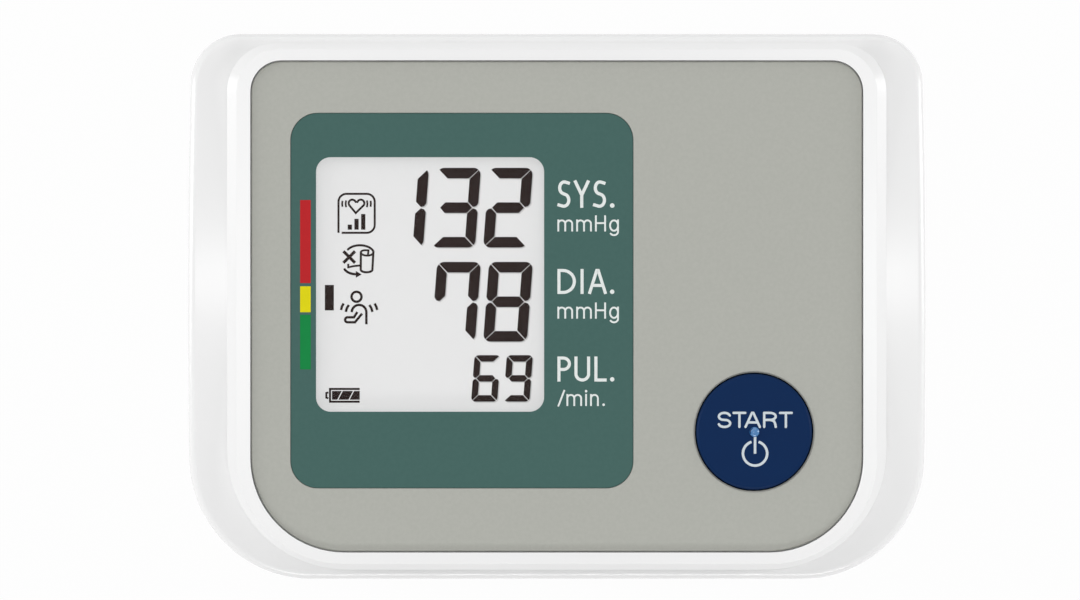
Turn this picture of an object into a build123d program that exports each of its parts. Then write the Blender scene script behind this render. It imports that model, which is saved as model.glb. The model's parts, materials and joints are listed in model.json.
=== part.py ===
from build123d import *
import os
from math import cos, radians, sin, tan

# Upper arm blood pressure monitor, in millimetres and degrees.
# X is across, Y runs from the user's side to the back, and Z is up from the table.

# Housing
width = 140.0  # at its widest, half way along the sides
face_length = 103.4  # front rim to back rim, along the slope
height = 60.0  # table to the back edge of the bezel
tilt = 14.0  # slope of the face
side_bow = 0.8  # how far each long side bulges
front_corner = 23.2
back_corner = 9.5
wall = 2.4
side_draft = 1.5
parting_depth = 14.0  # below the face, where the two shells meet
lip_radius = 1.4
foot_height = 1.0
base_side_inset = 7.0  # how far the base stands in from the seam, at each side
base_front_inset = 11.7
base_back_inset = 1.3
base_front_corner = 18.0
base_back_corner = 12.0
base_edge_radius = 4.0
seam_gap = 0.3  # shadow line under the top shell's edge
seam_gap_depth = 0.5

# Crowned skirt round the raised bezel
crown_centre = 6.0  # along the slope, where the skirt stands highest
crown_radius_long = 326.0
crown_radius_cross = 1800.0
crown_turn = 6.0

# Raised bezel
bezel_width = 124.6
bezel_length = 99.5
bezel_back_corner = 9.1
bezel_front_corner = 22.7
flat_width = 121.0
flat_length = 97.3
flat_back_corner = 8.0
flat_front_corner = 20.1
bevel_depth = 0.9
face_floor = 2.0  # floor of the top shell under the panel

# Face panel
panel_width = 115.4
panel_length = 92.6
panel_back_corner = 5.7
panel_front_corner = 17.6
panel_recess = 0.8
panel_thickness = 1.8
panel_gap = 0.2
panel_edge_radius = 0.3

# Display
surround_width = 64.65
surround_length = 70.8
surround_u = -17.93
surround_v = 1.1
surround_radius = 5.1
surround_thickness = 0.9
surround_gap = 0.1
window_width = 43.1
window_length = 48.1
window_u = -23.95
window_v = 4.15
window_radius = 2.75
lens_margin = 1.8
lens_thickness = 0.7
glass_width = 48.0
glass_length = 53.0
glass_thickness = 1.1
glass_ledge = 2.6
glass_gap = 0.3
reflector_thickness = 0.3
holder_wall = 1.5
holder_shelf = 1.2
connector_width = 1.8
connector_length = 44.0

# Start button
button_radius = 10.95
button_u = 37.3
button_v = -23.7
button_gap = 0.25
button_rise = 0.5  # above the panel
button_travel = 0.5
button_flange = 1.2
button_skin = 1.6
button_edge_radius = 0.7
dot_radius = 0.85
dot_height = 0.35
button_rib = 1.0  # thickness of the cross that carries its post

# Circuit board and what it carries
board_depth = 9.5  # below the face, to the board's top
board_thickness = 1.6
board_width = 104.0
board_back = 36.0
board_front = -34.0
board_notch_width = 3.4
board_notch_length = 11.5
switch_width = 6.2
switch_height = 3.5
switch_corner = 0.5
dome_thickness = 0.2
stem_radius = 1.75
stem_rise = 0.8
collar_width = 0.4
buzzer_radius = 6.0
buzzer_hole_radius = 1.0
buzzer_u = 30.0
buzzer_v = 20.0
chip_width = 14.0
chip_height = 1.6
chip_leads = 1.0  # how far its leads stand out
chip_u = 26.0
chip_v = 0.0
capacitor_radius = 3.2
capacitor_length = 8.0
sensor_width = 10.0
sensor_length = 8.0
sensor_height = 3.5
sensor_nozzle = 3.0
post_radius = 2.6
board_screw_radius = 0.9
screw_head_height = 1.4

# Case screws
column_radius = 4.2
boss_radius = 3.6
screw_radius = 1.4
screw_head_radius = 2.8
case_head_height = 2.0
column_web = 4.0
screw_grip = 9.0
seam_drop = 3.8  # from the seam down to the top of a column
column_inset = 16.0  # from the sides of the housing
column_front_inset = 12.5  # from the front of the base
column_back_inset = 11.4
web_thickness = 1.2
web_setback = 2.0  # of a web below the top of its column

# Shells' tongue and groove
tongue_width = 1.1
tongue_height = 1.5

# Batteries
cell_radius = 7.15
cell_length = 50.2
cell_nub_radius = 2.7
cell_nub_length = 1.2
cell_edge_radius = 0.5
cell_gap = 0.9  # between neighbouring cells
bay_wall = 1.6
bay_x = -20.0
bay_y = 5.0
contact_thickness = 0.5
contact_width = 10.0
contact_height = 10.0
spring_reach = 4.0
spring_width = 5.0
spring_thickness = 0.4
cover_thickness = 2.0
cover_lap = 1.5  # the cover's rim on the ends of the bay's walls
hook_width = 6.0
hook_reach = 2.0
hook_thickness = 1.4
hook_inset = 1.2  # of a hook's root behind the front wall of the bay
latch_width = 12.0
latch_thickness = 1.0
latch_height = 7.5  # of the springy arm, above the cover
latch_gap = 1.2  # between the two legs of the arm
latch_nib = 0.7
latch_nib_z = 1.2  # of the nib above the cover
latch_tab_length = 1.9
latch_tab_thickness = 0.8
latch_side_gap = 0.5
pocket_wall = 1.4
scoop_length = 8.0
scoop_depth = 1.2
rib_thickness = 1.2
rib_height = 4.0
rib_xs = [-44.0, -28.0, -12.0, 4.0]

# Pump
pump_x = 29.0
pump_radius = 13.5
motor_radius = 12.2
motor_wall = 0.8
motor_back = 42.0
motor_length = 31.0
crank_case_length = 10.0
diaphragm_thickness = 2.0
valve_plate_thickness = 4.0
head_length = 9.0
shaft_radius = 1.0
bearing_radius = 3.0
cushion_width = 5.0
cushion_radius = 15.0
saddle_width = 3.0
saddle_edge = 2.0  # beside the cushions
magnet_end = 4.0  # from each end of the motor
magnet_thickness = 2.2
magnet_slot = 6.0
rotor_gap = 0.5
rotor_end = 6.0
rotor_slot_depth = 2.5
rotor_slot = 1.0
commutator_start = 1.0
commutator_length = 5.0
cap_thickness = 2.0
cap_collar = 1.0
cap_collar_length = 2.0
crank_radius = 4.5
crank_thickness = 3.0
pin_radius = 0.9
pin_offset = 1.2
pin_length = 2.6
pin_swing = 0.3  # room round the pin in the drive plate
drive_gap = 0.5
drive_thickness = 2.0
drive_arm = 4.0
drive_pad_radius = 2.0
cup_radius = 3.8
cup_ring = 7.2
cup_length = 2.3
cup_wall = 0.8
cup_floor = 0.6
cup_neck_radius = 1.2
port_radius = 0.6
port_ring = 3.0
head_wall = 2.0
casting_edge = 1.0
nozzle_root = 4.0  # of the nozzle, inside the head

# Air lines
line_y = -10.0
line_z = 23.5
tube_radius = 2.5
tube_bore = 1.6
barb_radius = 1.5
barb_bore = 0.9
barb_length = 5.0
manifold_x = -6.0
manifold_radius = 2.6
manifold_length = 14.0
manifold_saddle = 2.0
manifold_saddle_end = 1.0
port_stub = 1.6  # on the manifold, towards the sensor
tube_seat = 1.2  # from a body to the end of the tube on its barb
socket_bore = 2.2
socket_depth = 11.0
socket_recess = 0.5  # of its face in the side wall
socket_flange_radius = 6.0
socket_flange = 0.8
socket_radius = 4.2
socket_length = 13.0

# Exhaust valve under the board
valve_u = 46.5
valve_v = 10.0
valve_drop = 5.3
valve_length = 16.0
yoke_width = 10.0
yoke_thickness = 1.0
coil_radius = 4.4
bobbin_inset = 0.2
bobbin_wall = 1.0
winding_inset = 0.5
winding_depth = 0.7
seat_length = 1.5
seat_inset = 0.4
plunger_radius = 1.45
plunger_travel = 0.8
plunger_tail = 3.5  # out of the yoke
plunger_head = 1.0
spring_turns = 3
spring_wire = 0.2
valve_run = 16.0  # of the valve's tube, straight on from the barb
valve_bend = 8.0
manifold_run = 4.4
manifold_bend = 4.2

# Socket for a mains adapter
jack_y = 22.0
jack_z = 20.0
jack_recess = 0.8  # of its face in the side wall
jack_bore = 2.85
jack_depth = 9.5
jack_nose_radius = 4.8
jack_body_width = 9.0
jack_body_height = 11.0
jack_body_length = 13.0
jack_pin_radius = 1.0
jack_dish = 1.0  # round the nose, in the side wall
jack_shoulder = 1.2  # behind the wall

# Feet
foot_radius = 4.5
foot_recess = 1.0

# Fits
slip = 0.05  # radial clearance of parts that slide or turn
loose = 0.1
lead_radius = 0.6
lead_bend = 3.0
lead_drop = 0.3  # under the board

# Base and bay
base_width = width - 2 * base_side_inset
base_front = base_front_inset - face_length / 2
base_back = face_length / 2 - base_back_inset
base_z = foot_height

# Planes of the sloping face
slope, rise = cos(radians(tilt)), sin(radians(tilt))
crown_fall = (face_length / 2 + crown_centre) ** 2 / (2 * crown_radius_long)
crown_side = (bezel_width / 2) ** 2 / (2 * crown_radius_cross)
lip_depth = bevel_depth + crown_fall - crown_side + lip_radius
lip_v = face_length / 2 - lip_radius - (parting_depth - lip_depth) * tan(radians(side_draft))
front_reach = lip_v * slope - lip_depth * rise + lip_radius
back_reach = face_length / 2 * slope + parting_depth * rise
deck_y = (front_reach - back_reach) / 2
deck_z = height - flat_length / 2 * rise
deck = Plane(origin=(0, deck_y, deck_z), x_dir=(1, 0, 0), z_dir=(0, -rise, slope))
parting = deck.offset(-parting_depth)

floor_top = panel_recess + panel_thickness
floor_bottom = floor_top + face_floor
board_bottom = board_depth + board_thickness


def spot(u: float, v: float, depth: float) -> Vector:
    """Point given by its place on the sloping face and its depth below it."""
    return deck.from_local_coords(Vector(u, v, -depth))


def height_at(y: float, depth: float) -> float:
    """Height above the table, at y, of the surface that lies depth below the face."""
    along = (y - deck_y - depth * rise) / slope
    return deck_z + along * rise - depth * slope


def wall_at(y: float, z: float) -> float:
    """Distance from the middle to the outside of the side walls, at y and z."""
    seam_z = height_at(y, parting_depth)
    return (base_width + (width - base_width) * (z - base_z) / (seam_z - base_z)) / 2


def outline(across: float, along: float, back_radius: float, front_radius: float) -> Sketch:
    """Rectangle with one radius on its back corners and another on its front corners."""
    with BuildSketch(Plane.XY, mode=Mode.PRIVATE) as drawn:
        Rectangle(across, along)
        fillet(drawn.vertices().group_by(Axis.Y)[0], front_radius)
        fillet(drawn.vertices().group_by(Axis.Y)[-1], back_radius)
    return drawn.sketch


def housing_outline(inset: float) -> Sketch:
    """Outline of the housing at the parting plane, with bowed sides, moved in by inset."""
    half_w, half_l = width / 2 - inset, face_length / 2 - inset
    with BuildSketch(Plane.XY, mode=Mode.PRIVATE) as drawn:
        with BuildLine():
            front = Line((side_bow - half_w, -half_l), (half_w - side_bow, -half_l))
            right = ThreePointArc(front @ 1, (half_w, 0), (half_w - side_bow, half_l))
            back = Line(right @ 1, (side_bow - half_w, half_l))
            ThreePointArc(back @ 1, (-half_w, 0), front @ 0)
        make_face()
        fillet(drawn.vertices().group_by(Axis.Y)[0], front_corner - inset)
        fillet(drawn.vertices().group_by(Axis.Y)[-1], back_corner - inset)
    return drawn.sketch


def crowned_form(drop: float) -> Part:
    """Solid under the crowned skirt: a long arc along the slope, turned about a far axis."""
    half_turn = radians(crown_turn / 2)
    profile_plane = Plane(
        origin=spot(0, 0, crown_radius_cross + drop),
        x_dir=deck.y_dir,
        z_dir=deck.x_dir * cos(half_turn) + deck.z_dir * sin(half_turn),
    )
    crest = crown_radius_cross + crown_side - bevel_depth
    reach = face_length
    fall = reach**2 / (2 * crown_radius_long)
    with BuildPart(mode=Mode.PRIVATE) as form:
        with BuildSketch(profile_plane):
            with BuildLine():
                top = ThreePointArc(
                    (crown_centre - reach, crest - fall),
                    (crown_centre, crest),
                    (crown_centre + reach, crest - fall),
                )
                Polyline(
                    top @ 1,
                    (crown_centre + reach, crest - height),
                    (crown_centre - reach, crest - height),
                    top @ 0,
                )
            make_face()
        revolve(axis=Axis(profile_plane.origin, deck.y_dir), revolution_arc=crown_turn)
    return form.part


# Screws: places on the base and the top of each column, then places on the face
column_x = width / 2 - column_inset
case_screw_sites = [
    (side * column_x, y, height_at(y, parting_depth) - seam_drop)
    for y in (base_front + column_front_inset, base_back - column_back_inset)
    for side in (1, -1)
]
board_screw_sites = [(-44.0, -30.5), (20.0, -30.5), (49.0, -4.0), (8.0, 32.0), (47.0, 31.0)]

# Top shell

with BuildPart() as top_cavity:
    with BuildSketch(parting):
        add(housing_outline(wall))
    extrude(amount=parting_depth, taper=side_draft)
    add(crowned_form(wall), mode=Mode.INTERSECT)
    with BuildSketch(deck.offset(-floor_bottom)):
        add(
            outline(
                bezel_width - 2 * wall,
                bezel_length - 2 * wall,
                bezel_back_corner - wall,
                bezel_front_corner - wall,
            )
        )
    extrude(amount=floor_bottom, mode=Mode.SUBTRACT)
    with BuildSketch(parting):
        add(
            outline(
                bezel_width - 2 * wall,
                bezel_length - 2 * wall,
                bezel_back_corner - wall,
                bezel_front_corner - wall,
            )
        )
    extrude(amount=parting_depth - floor_bottom)
    # Webs that tie the screw bosses to the sides
    for x, y, seam in case_screw_sites:
        with Locations((1.5 * x, y, seam + web_setback)):
            Box(
                abs(x),
                web_thickness,
                height,
                align=(Align.CENTER, Align.CENTER, Align.MIN),
                mode=Mode.SUBTRACT,
            )

with BuildPart() as top_case:
    with BuildSketch(parting):
        add(housing_outline(0))
    extrude(amount=parting_depth, taper=side_draft)
    add(crowned_form(0), mode=Mode.INTERSECT)
    fillet(top_case.faces().sort_by(Axis(deck.origin, deck.z_dir))[-1].edges(), lip_radius)
    with BuildSketch(parting):
        add(outline(bezel_width, bezel_length, bezel_back_corner, bezel_front_corner))
    extrude(amount=parting_depth - bevel_depth)
    with BuildSketch(deck.offset(-bevel_depth)):
        add(outline(bezel_width, bezel_length, bezel_back_corner, bezel_front_corner))
    with BuildSketch(deck):
        add(outline(flat_width, flat_length, flat_back_corner, flat_front_corner))
    loft()
    add(top_cavity.part, mode=Mode.SUBTRACT)
    # Bosses for the case screws, upright, and posts for the board, square to the face
    for x, y, seam in case_screw_sites:
        with BuildSketch(Plane.XY.offset(seam)):
            with Locations((x, y)):
                Circle(boss_radius)
        extrude(amount=height_at(y, floor_top + face_floor / 2) - seam)
    with BuildSketch(deck.offset(-board_depth)):
        with Locations(*board_screw_sites):
            Circle(post_radius)
    extrude(amount=board_depth - floor_top - face_floor / 2)
    # Recess for the panel and openings for the display glass and the button
    with BuildSketch(deck.offset(-floor_top)):
        add(
            outline(
                panel_width + 2 * panel_gap,
                panel_length + 2 * panel_gap,
                panel_back_corner + panel_gap,
                panel_front_corner + panel_gap,
            )
        )
    extrude(amount=floor_top, mode=Mode.SUBTRACT)
    with BuildSketch(deck.offset(-floor_top)):
        with Locations((window_u, window_v)):
            Rectangle(glass_width + 2 * glass_gap, glass_length + 2 * glass_gap)
        with Locations((button_u, button_v)):
            Circle(button_radius + button_gap)
    extrude(amount=-face_floor, mode=Mode.SUBTRACT)
    # Screw holes
    for x, y, seam in case_screw_sites:
        with Locations(Plane.XY.offset(seam)):
            with Locations((x, y)):
                Cylinder(
                    screw_radius + slip,
                    screw_grip,
                    align=(Align.CENTER, Align.CENTER, Align.MIN),
                    mode=Mode.SUBTRACT,
                )
    with BuildSketch(deck.offset(-board_depth)):
        with Locations(*board_screw_sites):
            Circle(board_screw_radius + slip)
    extrude(amount=board_depth - floor_bottom, mode=Mode.SUBTRACT)
    # Groove for the bottom shell's tongue
    with BuildSketch(parting):
        add(housing_outline(wall - tongue_width - loose))
        add(housing_outline(wall + loose), mode=Mode.SUBTRACT)
    extrude(amount=tongue_height + loose, mode=Mode.SUBTRACT)

# Batteries: four cells side by side along Y, in a bay that opens at the base
cell_pitch = 2 * cell_radius + cell_gap
bay_width = 4 * cell_pitch
bay_length = cell_length + spring_reach + 2 * contact_thickness
bay_front, bay_back = bay_y - bay_length / 2, bay_y + bay_length / 2
cell_z = base_z + cover_thickness + cell_gap / 2 + cell_radius
bay_top = cell_z + cell_pitch / 2 + bay_wall
cell_xs = [bay_x + (index - 1.5) * cell_pitch for index in range(4)]
cover_width = bay_width + 2 * cover_lap
cover_length = bay_length + 2 * cover_lap

cover_inside = base_z + cover_thickness

# Springy latch behind the bay: the cover's arm goes up, bends over and comes down again
latch_start = bay_back + bay_wall
latch_reach = 2 * latch_thickness + latch_gap
pocket_width = latch_width + 2 * latch_side_gap
pocket_length = latch_side_gap + latch_reach + latch_nib + 2 * loose
pocket_height = cover_thickness + latch_height + latch_side_gap
scoop_radius = (scoop_length**2 + scoop_depth**2) / (2 * scoop_depth)

# Side sockets and pump
socket_face = wall_at(line_y, line_z) - socket_recess
jack_face = wall_at(jack_y, jack_z) - jack_recess
pump_z = base_z + wall + cushion_radius + loose
pump_front = motor_back - motor_length - crank_case_length
saddle_ys = [pump_front + crank_case_length / 2, motor_back - motor_length / 3]


def base_plane(z: float) -> Plane:
    """Level plane at height z, centred on the base."""
    return Plane.XY.offset(z).shift_origin((0, (base_front + base_back) / 2, z))


def base_outline(inset: float) -> Sketch:
    """Outline of the base, moved in by inset."""
    return outline(
        base_width - 2 * inset,
        base_back - base_front - 2 * inset,
        base_back_corner - inset,
        base_front_corner - inset,
    )


def across_plane(y: float, z: float) -> Plane:
    """Upright plane across the housing that faces the user, centred on the pump."""
    return Plane(origin=(pump_x, y, z), x_dir=(1, 0, 0), z_dir=(0, -1, 0))


with BuildPart() as tub_cavity:
    with BuildSketch(parting):
        add(housing_outline(wall))
    with BuildSketch(base_plane(base_z + wall)):
        add(base_outline(wall))
    loft()
    with BuildSketch(Plane.XY.offset(base_z)):
        with Locations((bay_x, bay_y)):
            Rectangle(bay_width + 2 * bay_wall, bay_length + 2 * bay_wall)
    extrude(amount=bay_top - base_z, mode=Mode.SUBTRACT)
    # Bosses inside the walls round the two sockets
    with BuildSketch(Plane.YZ.offset(-width)):
        with Locations((line_y, line_z)):
            Circle(socket_flange_radius + wall)
    extrude(amount=width - socket_face + socket_flange + 1.5 * wall, mode=Mode.SUBTRACT)
    with BuildSketch(Plane.YZ.offset(width)):
        with Locations((jack_y, jack_z)):
            Circle(jack_nose_radius + 2 * wall)
    extrude(amount=jack_face - 1.5 * wall - width, mode=Mode.SUBTRACT)
    # Pocket for the cover's latch, ribs in front of the bay, and webs beside the columns
    with Locations((bay_x, latch_start, base_z)):
        Box(
            pocket_width + 2 * pocket_wall,
            pocket_length + pocket_wall,
            pocket_height + pocket_wall,
            align=(Align.CENTER, Align.MIN, Align.MIN),
            mode=Mode.SUBTRACT,
        )
    with Locations(*[(x, bay_front, base_z) for x in rib_xs]):
        Box(
            rib_thickness,
            face_length,
            wall + rib_height,
            align=(Align.CENTER, Align.MAX, Align.MIN),
            mode=Mode.SUBTRACT,
        )
    for x, y, seam in case_screw_sites:
        with Locations((1.5 * x, y, base_z)):
            Box(
                abs(x),
                web_thickness,
                seam - web_setback - base_z,
                align=(Align.CENTER, Align.CENTER, Align.MIN),
                mode=Mode.SUBTRACT,
            )

with BuildPart() as bottom_case:
    with BuildSketch(parting):
        add(housing_outline(0))
    with BuildSketch(base_plane(base_z)):
        add(base_outline(0))
    loft()
    fillet(bottom_case.faces().sort_by(Axis.Z)[0].edges(), base_edge_radius)
    add(tub_cavity.part, mode=Mode.SUBTRACT)
    # Tongue that enters the top shell
    with BuildSketch(parting):
        add(housing_outline(wall - tongue_width))
        add(housing_outline(wall), mode=Mode.SUBTRACT)
    extrude(amount=tongue_height)
    # Shadow line under the seam
    with BuildSketch(parting):
        add(housing_outline(-wall))
        add(housing_outline(seam_gap_depth), mode=Mode.SUBTRACT)
    extrude(amount=-seam_gap, mode=Mode.SUBTRACT)
    # Screw columns, drilled and counterbored from below
    for x, y, seam in case_screw_sites:
        with BuildSketch(Plane.XY.offset(base_z + wall / 2)):
            with Locations((x, y)):
                Circle(column_radius)
        extrude(amount=seam - base_z - wall / 2)
        with BuildSketch(Plane.XY.offset(seam)):
            with Locations((x, y)):
                Circle(screw_radius + loose)
        extrude(amount=-seam, mode=Mode.SUBTRACT)
        with BuildSketch(Plane.XY.offset(seam - column_web)):
            with Locations((x, y)):
                Circle(screw_head_radius + 2 * loose)
        extrude(amount=-seam, mode=Mode.SUBTRACT)
    # Saddles for the pump
    for y in saddle_ys:
        with BuildSketch(across_plane(y + saddle_width / 2, pump_z)):
            with Locations((0, (base_z + wall / 2 - pump_z) / 2)):
                Rectangle(2 * (cushion_radius + saddle_edge), pump_z - base_z - wall / 2)
            Circle(cushion_radius + slip, mode=Mode.SUBTRACT)
        extrude(amount=saddle_width)
    # Saddles for the manifold, on the bay
    for side in (-1, 1):
        middle = manifold_x + side * (manifold_length / 2 - manifold_saddle_end - manifold_saddle / 2)
        with BuildSketch(Plane.YZ.offset(middle - manifold_saddle / 2)):
            with Locations((line_y, (bay_top + line_z) / 2)):
                Rectangle(3 * manifold_radius, line_z - bay_top)
            with Locations((line_y, line_z)):
                Circle(manifold_radius + slip, mode=Mode.SUBTRACT)
        extrude(amount=manifold_saddle)
    # Battery bay, scalloped over the cells, and the cover's seat
    with BuildSketch(Plane.XY.offset(0)):
        with Locations((bay_x, bay_y)):
            Rectangle(bay_width, bay_length)
    extrude(amount=cell_z, mode=Mode.SUBTRACT)
    for x in cell_xs:
        with BuildSketch(Plane(origin=(x, bay_front, cell_z), x_dir=(1, 0, 0), z_dir=(0, 1, 0))):
            Circle(cell_pitch / 2)
        extrude(amount=bay_length, mode=Mode.SUBTRACT)
    with BuildSketch(Plane.XY.offset(base_z)):
        with Locations((bay_x, bay_front), (bay_x, bay_back)):
            Rectangle(bay_width, 2 * contact_thickness)
        with Locations((bay_x, bay_y)):
            Rectangle(2 * bay_width, bay_length, mode=Mode.INTERSECT)
    extrude(amount=cell_z - base_z + contact_height / 2 + loose, mode=Mode.SUBTRACT)
    with BuildSketch(Plane.XY.offset(0)):
        with Locations((bay_x, bay_y)):
            Rectangle(cover_width + 2 * loose, cover_length + 2 * loose)
    extrude(amount=base_z + cover_thickness, mode=Mode.SUBTRACT)
    # Slots for the cover's hooks
    for side in (-1, 1):
        with BuildSketch(Plane.XY.offset(base_z + cover_thickness)):
            with Locations((bay_x + side * cell_pitch, bay_front - bay_wall / 2)):
                Rectangle(hook_width + 4 * loose, 2 * bay_wall)
        extrude(amount=2 * hook_thickness, mode=Mode.SUBTRACT)
    # Room for the latch, and a finger scoop behind it
    with Locations((bay_x, latch_start, 0)):
        Box(
            pocket_width,
            pocket_length,
            base_z + pocket_height,
            align=(Align.CENTER, Align.MIN, Align.MIN),
            mode=Mode.SUBTRACT,
        )
    with BuildSketch(Plane.YZ.offset(bay_x - latch_width / 2)):
        with Locations((latch_start + pocket_length, base_z + scoop_depth - scoop_radius)):
            Circle(scoop_radius)
    extrude(amount=latch_width, mode=Mode.SUBTRACT)
    # Recesses for the feet
    foot_sites = [(-36.0, -32.0), (36.0, -32.0), (-38.0, 42.5), (38.0, 42.5)]
    with BuildSketch(Plane.XY.offset(base_z)):
        with Locations(*foot_sites):
            Circle(foot_radius + loose)
    extrude(amount=foot_recess, mode=Mode.SUBTRACT)
    # Openings of the two sockets
    with BuildSketch(Plane.YZ.offset(-width)):
        with Locations((line_y, line_z)):
            Circle(socket_flange_radius + 2 * loose)
    extrude(amount=width - socket_face + socket_flange, mode=Mode.SUBTRACT)
    with BuildSketch(Plane.YZ.offset(-width)):
        with Locations((line_y, line_z)):
            Circle(socket_radius + slip)
    extrude(amount=width - socket_face + 3 * wall, mode=Mode.SUBTRACT)
    with BuildSketch(Plane.YZ.offset(jack_face)):
        with Locations((jack_y, jack_z)):
            Circle(jack_nose_radius + jack_dish)
    extrude(amount=width, mode=Mode.SUBTRACT)
    with BuildSketch(Plane.YZ.offset(jack_face - jack_body_length)):
        with Locations((jack_y, jack_z)):
            Circle(jack_nose_radius + slip)
    extrude(amount=width, mode=Mode.SUBTRACT)

# Face panel, with a pocket for the display surround and a hole for the button
with BuildPart() as front_panel:
    with BuildSketch(deck.offset(-floor_top)):
        add(outline(panel_width, panel_length, panel_back_corner, panel_front_corner))
    extrude(amount=panel_thickness)
    fillet(
        front_panel.faces().sort_by(Axis(deck.origin, deck.z_dir))[-1].edges(),
        panel_edge_radius,
    )
    with BuildSketch(deck.offset(-panel_recess)):
        with Locations((surround_u, surround_v)):
            RectangleRounded(
                surround_width + 2 * surround_gap,
                surround_length + 2 * surround_gap,
                surround_radius + surround_gap,
            )
    extrude(amount=-surround_thickness - surround_gap, mode=Mode.SUBTRACT)
    with BuildSketch(deck.offset(-panel_recess)):
        with Locations((window_u, window_v)):
            Rectangle(
                window_width + 2 * (lens_margin + surround_gap),
                window_length + 2 * (lens_margin + surround_gap),
            )
        with Locations((button_u, button_v)):
            Circle(button_radius + button_gap)
    extrude(amount=-panel_thickness, mode=Mode.SUBTRACT)
    chamfer(
        front_panel.edges().filter_by(GeomType.CIRCLE).sort_by_distance(
            spot(button_u, button_v, panel_recess)
        )[0],
        panel_edge_radius,
    )

surround_top = panel_recess + surround_gap
surround_bottom = surround_top + surround_thickness
with BuildPart() as display_surround:
    with BuildSketch(deck.offset(-surround_bottom)):
        with Locations((surround_u, surround_v)):
            RectangleRounded(surround_width, surround_length, surround_radius)
        with Locations((window_u, window_v)):
            RectangleRounded(window_width, window_length, window_radius, mode=Mode.SUBTRACT)
    extrude(amount=surround_thickness)

with BuildPart() as window_lens:
    with BuildSketch(deck.offset(-surround_bottom)):
        with Locations((window_u, window_v)):
            Rectangle(window_width + 2 * lens_margin, window_length + 2 * lens_margin)
    extrude(amount=-lens_thickness)

# Display cell: two sheets of glass, the rear one short of the connector ledges
glass_top = surround_bottom + lens_thickness + loose
glass_mid = glass_top + glass_thickness
glass_bottom = glass_mid + glass_thickness
connector_v = glass_length / 2 - glass_ledge / 2
with BuildPart() as lcd_cell:
    with BuildSketch(deck.offset(-glass_mid)):
        with Locations((window_u, window_v)):
            Rectangle(glass_width, glass_length)
    extrude(amount=glass_thickness)
    with BuildSketch(deck.offset(-glass_mid)):
        with Locations((window_u, window_v)):
            Rectangle(glass_width, glass_length - 2 * glass_ledge)
    extrude(amount=-glass_thickness)

with BuildPart() as lcd_reflector:
    with BuildSketch(deck.offset(-glass_bottom)):
        with Locations((window_u, window_v)):
            Rectangle(glass_width, glass_length - 2 * glass_ledge)
    extrude(amount=-reflector_thickness)

with BuildPart() as lcd_holder:
    with BuildSketch(deck.offset(-board_depth)):
        with Locations((window_u, window_v)):
            Rectangle(glass_width + 2 * (holder_wall + loose), glass_length + 2 * (holder_wall + loose))
    extrude(amount=board_depth - floor_bottom - loose)
    shelf_top = glass_bottom + reflector_thickness
    with BuildSketch(deck.offset(-shelf_top)):
        with Locations((window_u, window_v)):
            Rectangle(glass_width + 2 * loose, glass_length + 2 * loose)
    extrude(amount=board_depth, mode=Mode.SUBTRACT)
    with BuildSketch(deck.offset(-shelf_top)):
        with Locations((window_u, window_v)):
            Rectangle(glass_width - 4 * holder_wall, glass_length - 4 * glass_ledge)
            with Locations((0, connector_v), (0, -connector_v)):
                Rectangle(connector_length + 2 * loose, connector_width + 2 * loose)
    extrude(amount=-board_depth, mode=Mode.SUBTRACT)
    with BuildSketch(deck.offset(-shelf_top - holder_shelf)):
        with Locations((window_u, window_v)):
            Rectangle(glass_width + 2 * loose, glass_length - 3 * glass_ledge)
    extrude(amount=-board_depth, mode=Mode.SUBTRACT)

with BuildPart() as lcd_connectors:
    with BuildSketch(deck.offset(-board_depth)):
        with Locations((window_u, window_v + connector_v), (window_u, window_v - connector_v)):
            Rectangle(connector_length, connector_width)
    extrude(amount=board_depth - glass_mid)

# Circuit board
with BuildPart() as main_board:
    with BuildSketch(deck.offset(-board_bottom)):
        with Locations((0, (board_back + board_front) / 2)):
            Rectangle(board_width, board_back - board_front)
        for side in (-1, 1):
            with Locations((side * board_width / 2, board_front)):
                Rectangle(2 * board_notch_width, 2 * board_notch_length, mode=Mode.SUBTRACT)
    extrude(amount=board_thickness)
    with Locations(deck.offset(-board_depth)):
        with Locations(*board_screw_sites):
            Hole(board_screw_radius + loose)

with BuildPart() as microcontroller:
    with BuildSketch(deck.offset(-board_depth)):
        with Locations((chip_u, chip_v)):
            RectangleRounded(chip_width, chip_width, chip_height / 3)
    extrude(amount=chip_height)
    with BuildSketch(deck.offset(-board_depth)):
        with Locations((chip_u, chip_v)):
            Rectangle(chip_width + 2 * chip_leads, chip_width - 2 * chip_leads)
            Rectangle(chip_width - 2 * chip_leads, chip_width + 2 * chip_leads)
    extrude(amount=chip_height / 4)

capacitor_sites = [(-30.0, -29.0), (-20.0, -29.0)]
with BuildPart() as board_capacitors:
    with BuildSketch(deck.offset(-board_bottom)):
        with Locations(*capacitor_sites):
            Circle(capacitor_radius)
    extrude(amount=-capacitor_length)
    fillet(
        board_capacitors.faces().group_by(Axis(deck.origin, deck.z_dir))[0].edges(),
        capacitor_radius / 6,
    )

with BuildPart() as buzzer:
    with BuildSketch(deck.offset(-board_depth)):
        with Locations((buzzer_u, buzzer_v)):
            Circle(buzzer_radius)
    extrude(amount=board_depth - floor_bottom - 4 * loose)
    with BuildSketch(deck.offset(-floor_bottom)):
        with Locations((buzzer_u, buzzer_v)):
            Circle(buzzer_hole_radius)
    extrude(amount=-board_thickness, mode=Mode.SUBTRACT)

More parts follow.
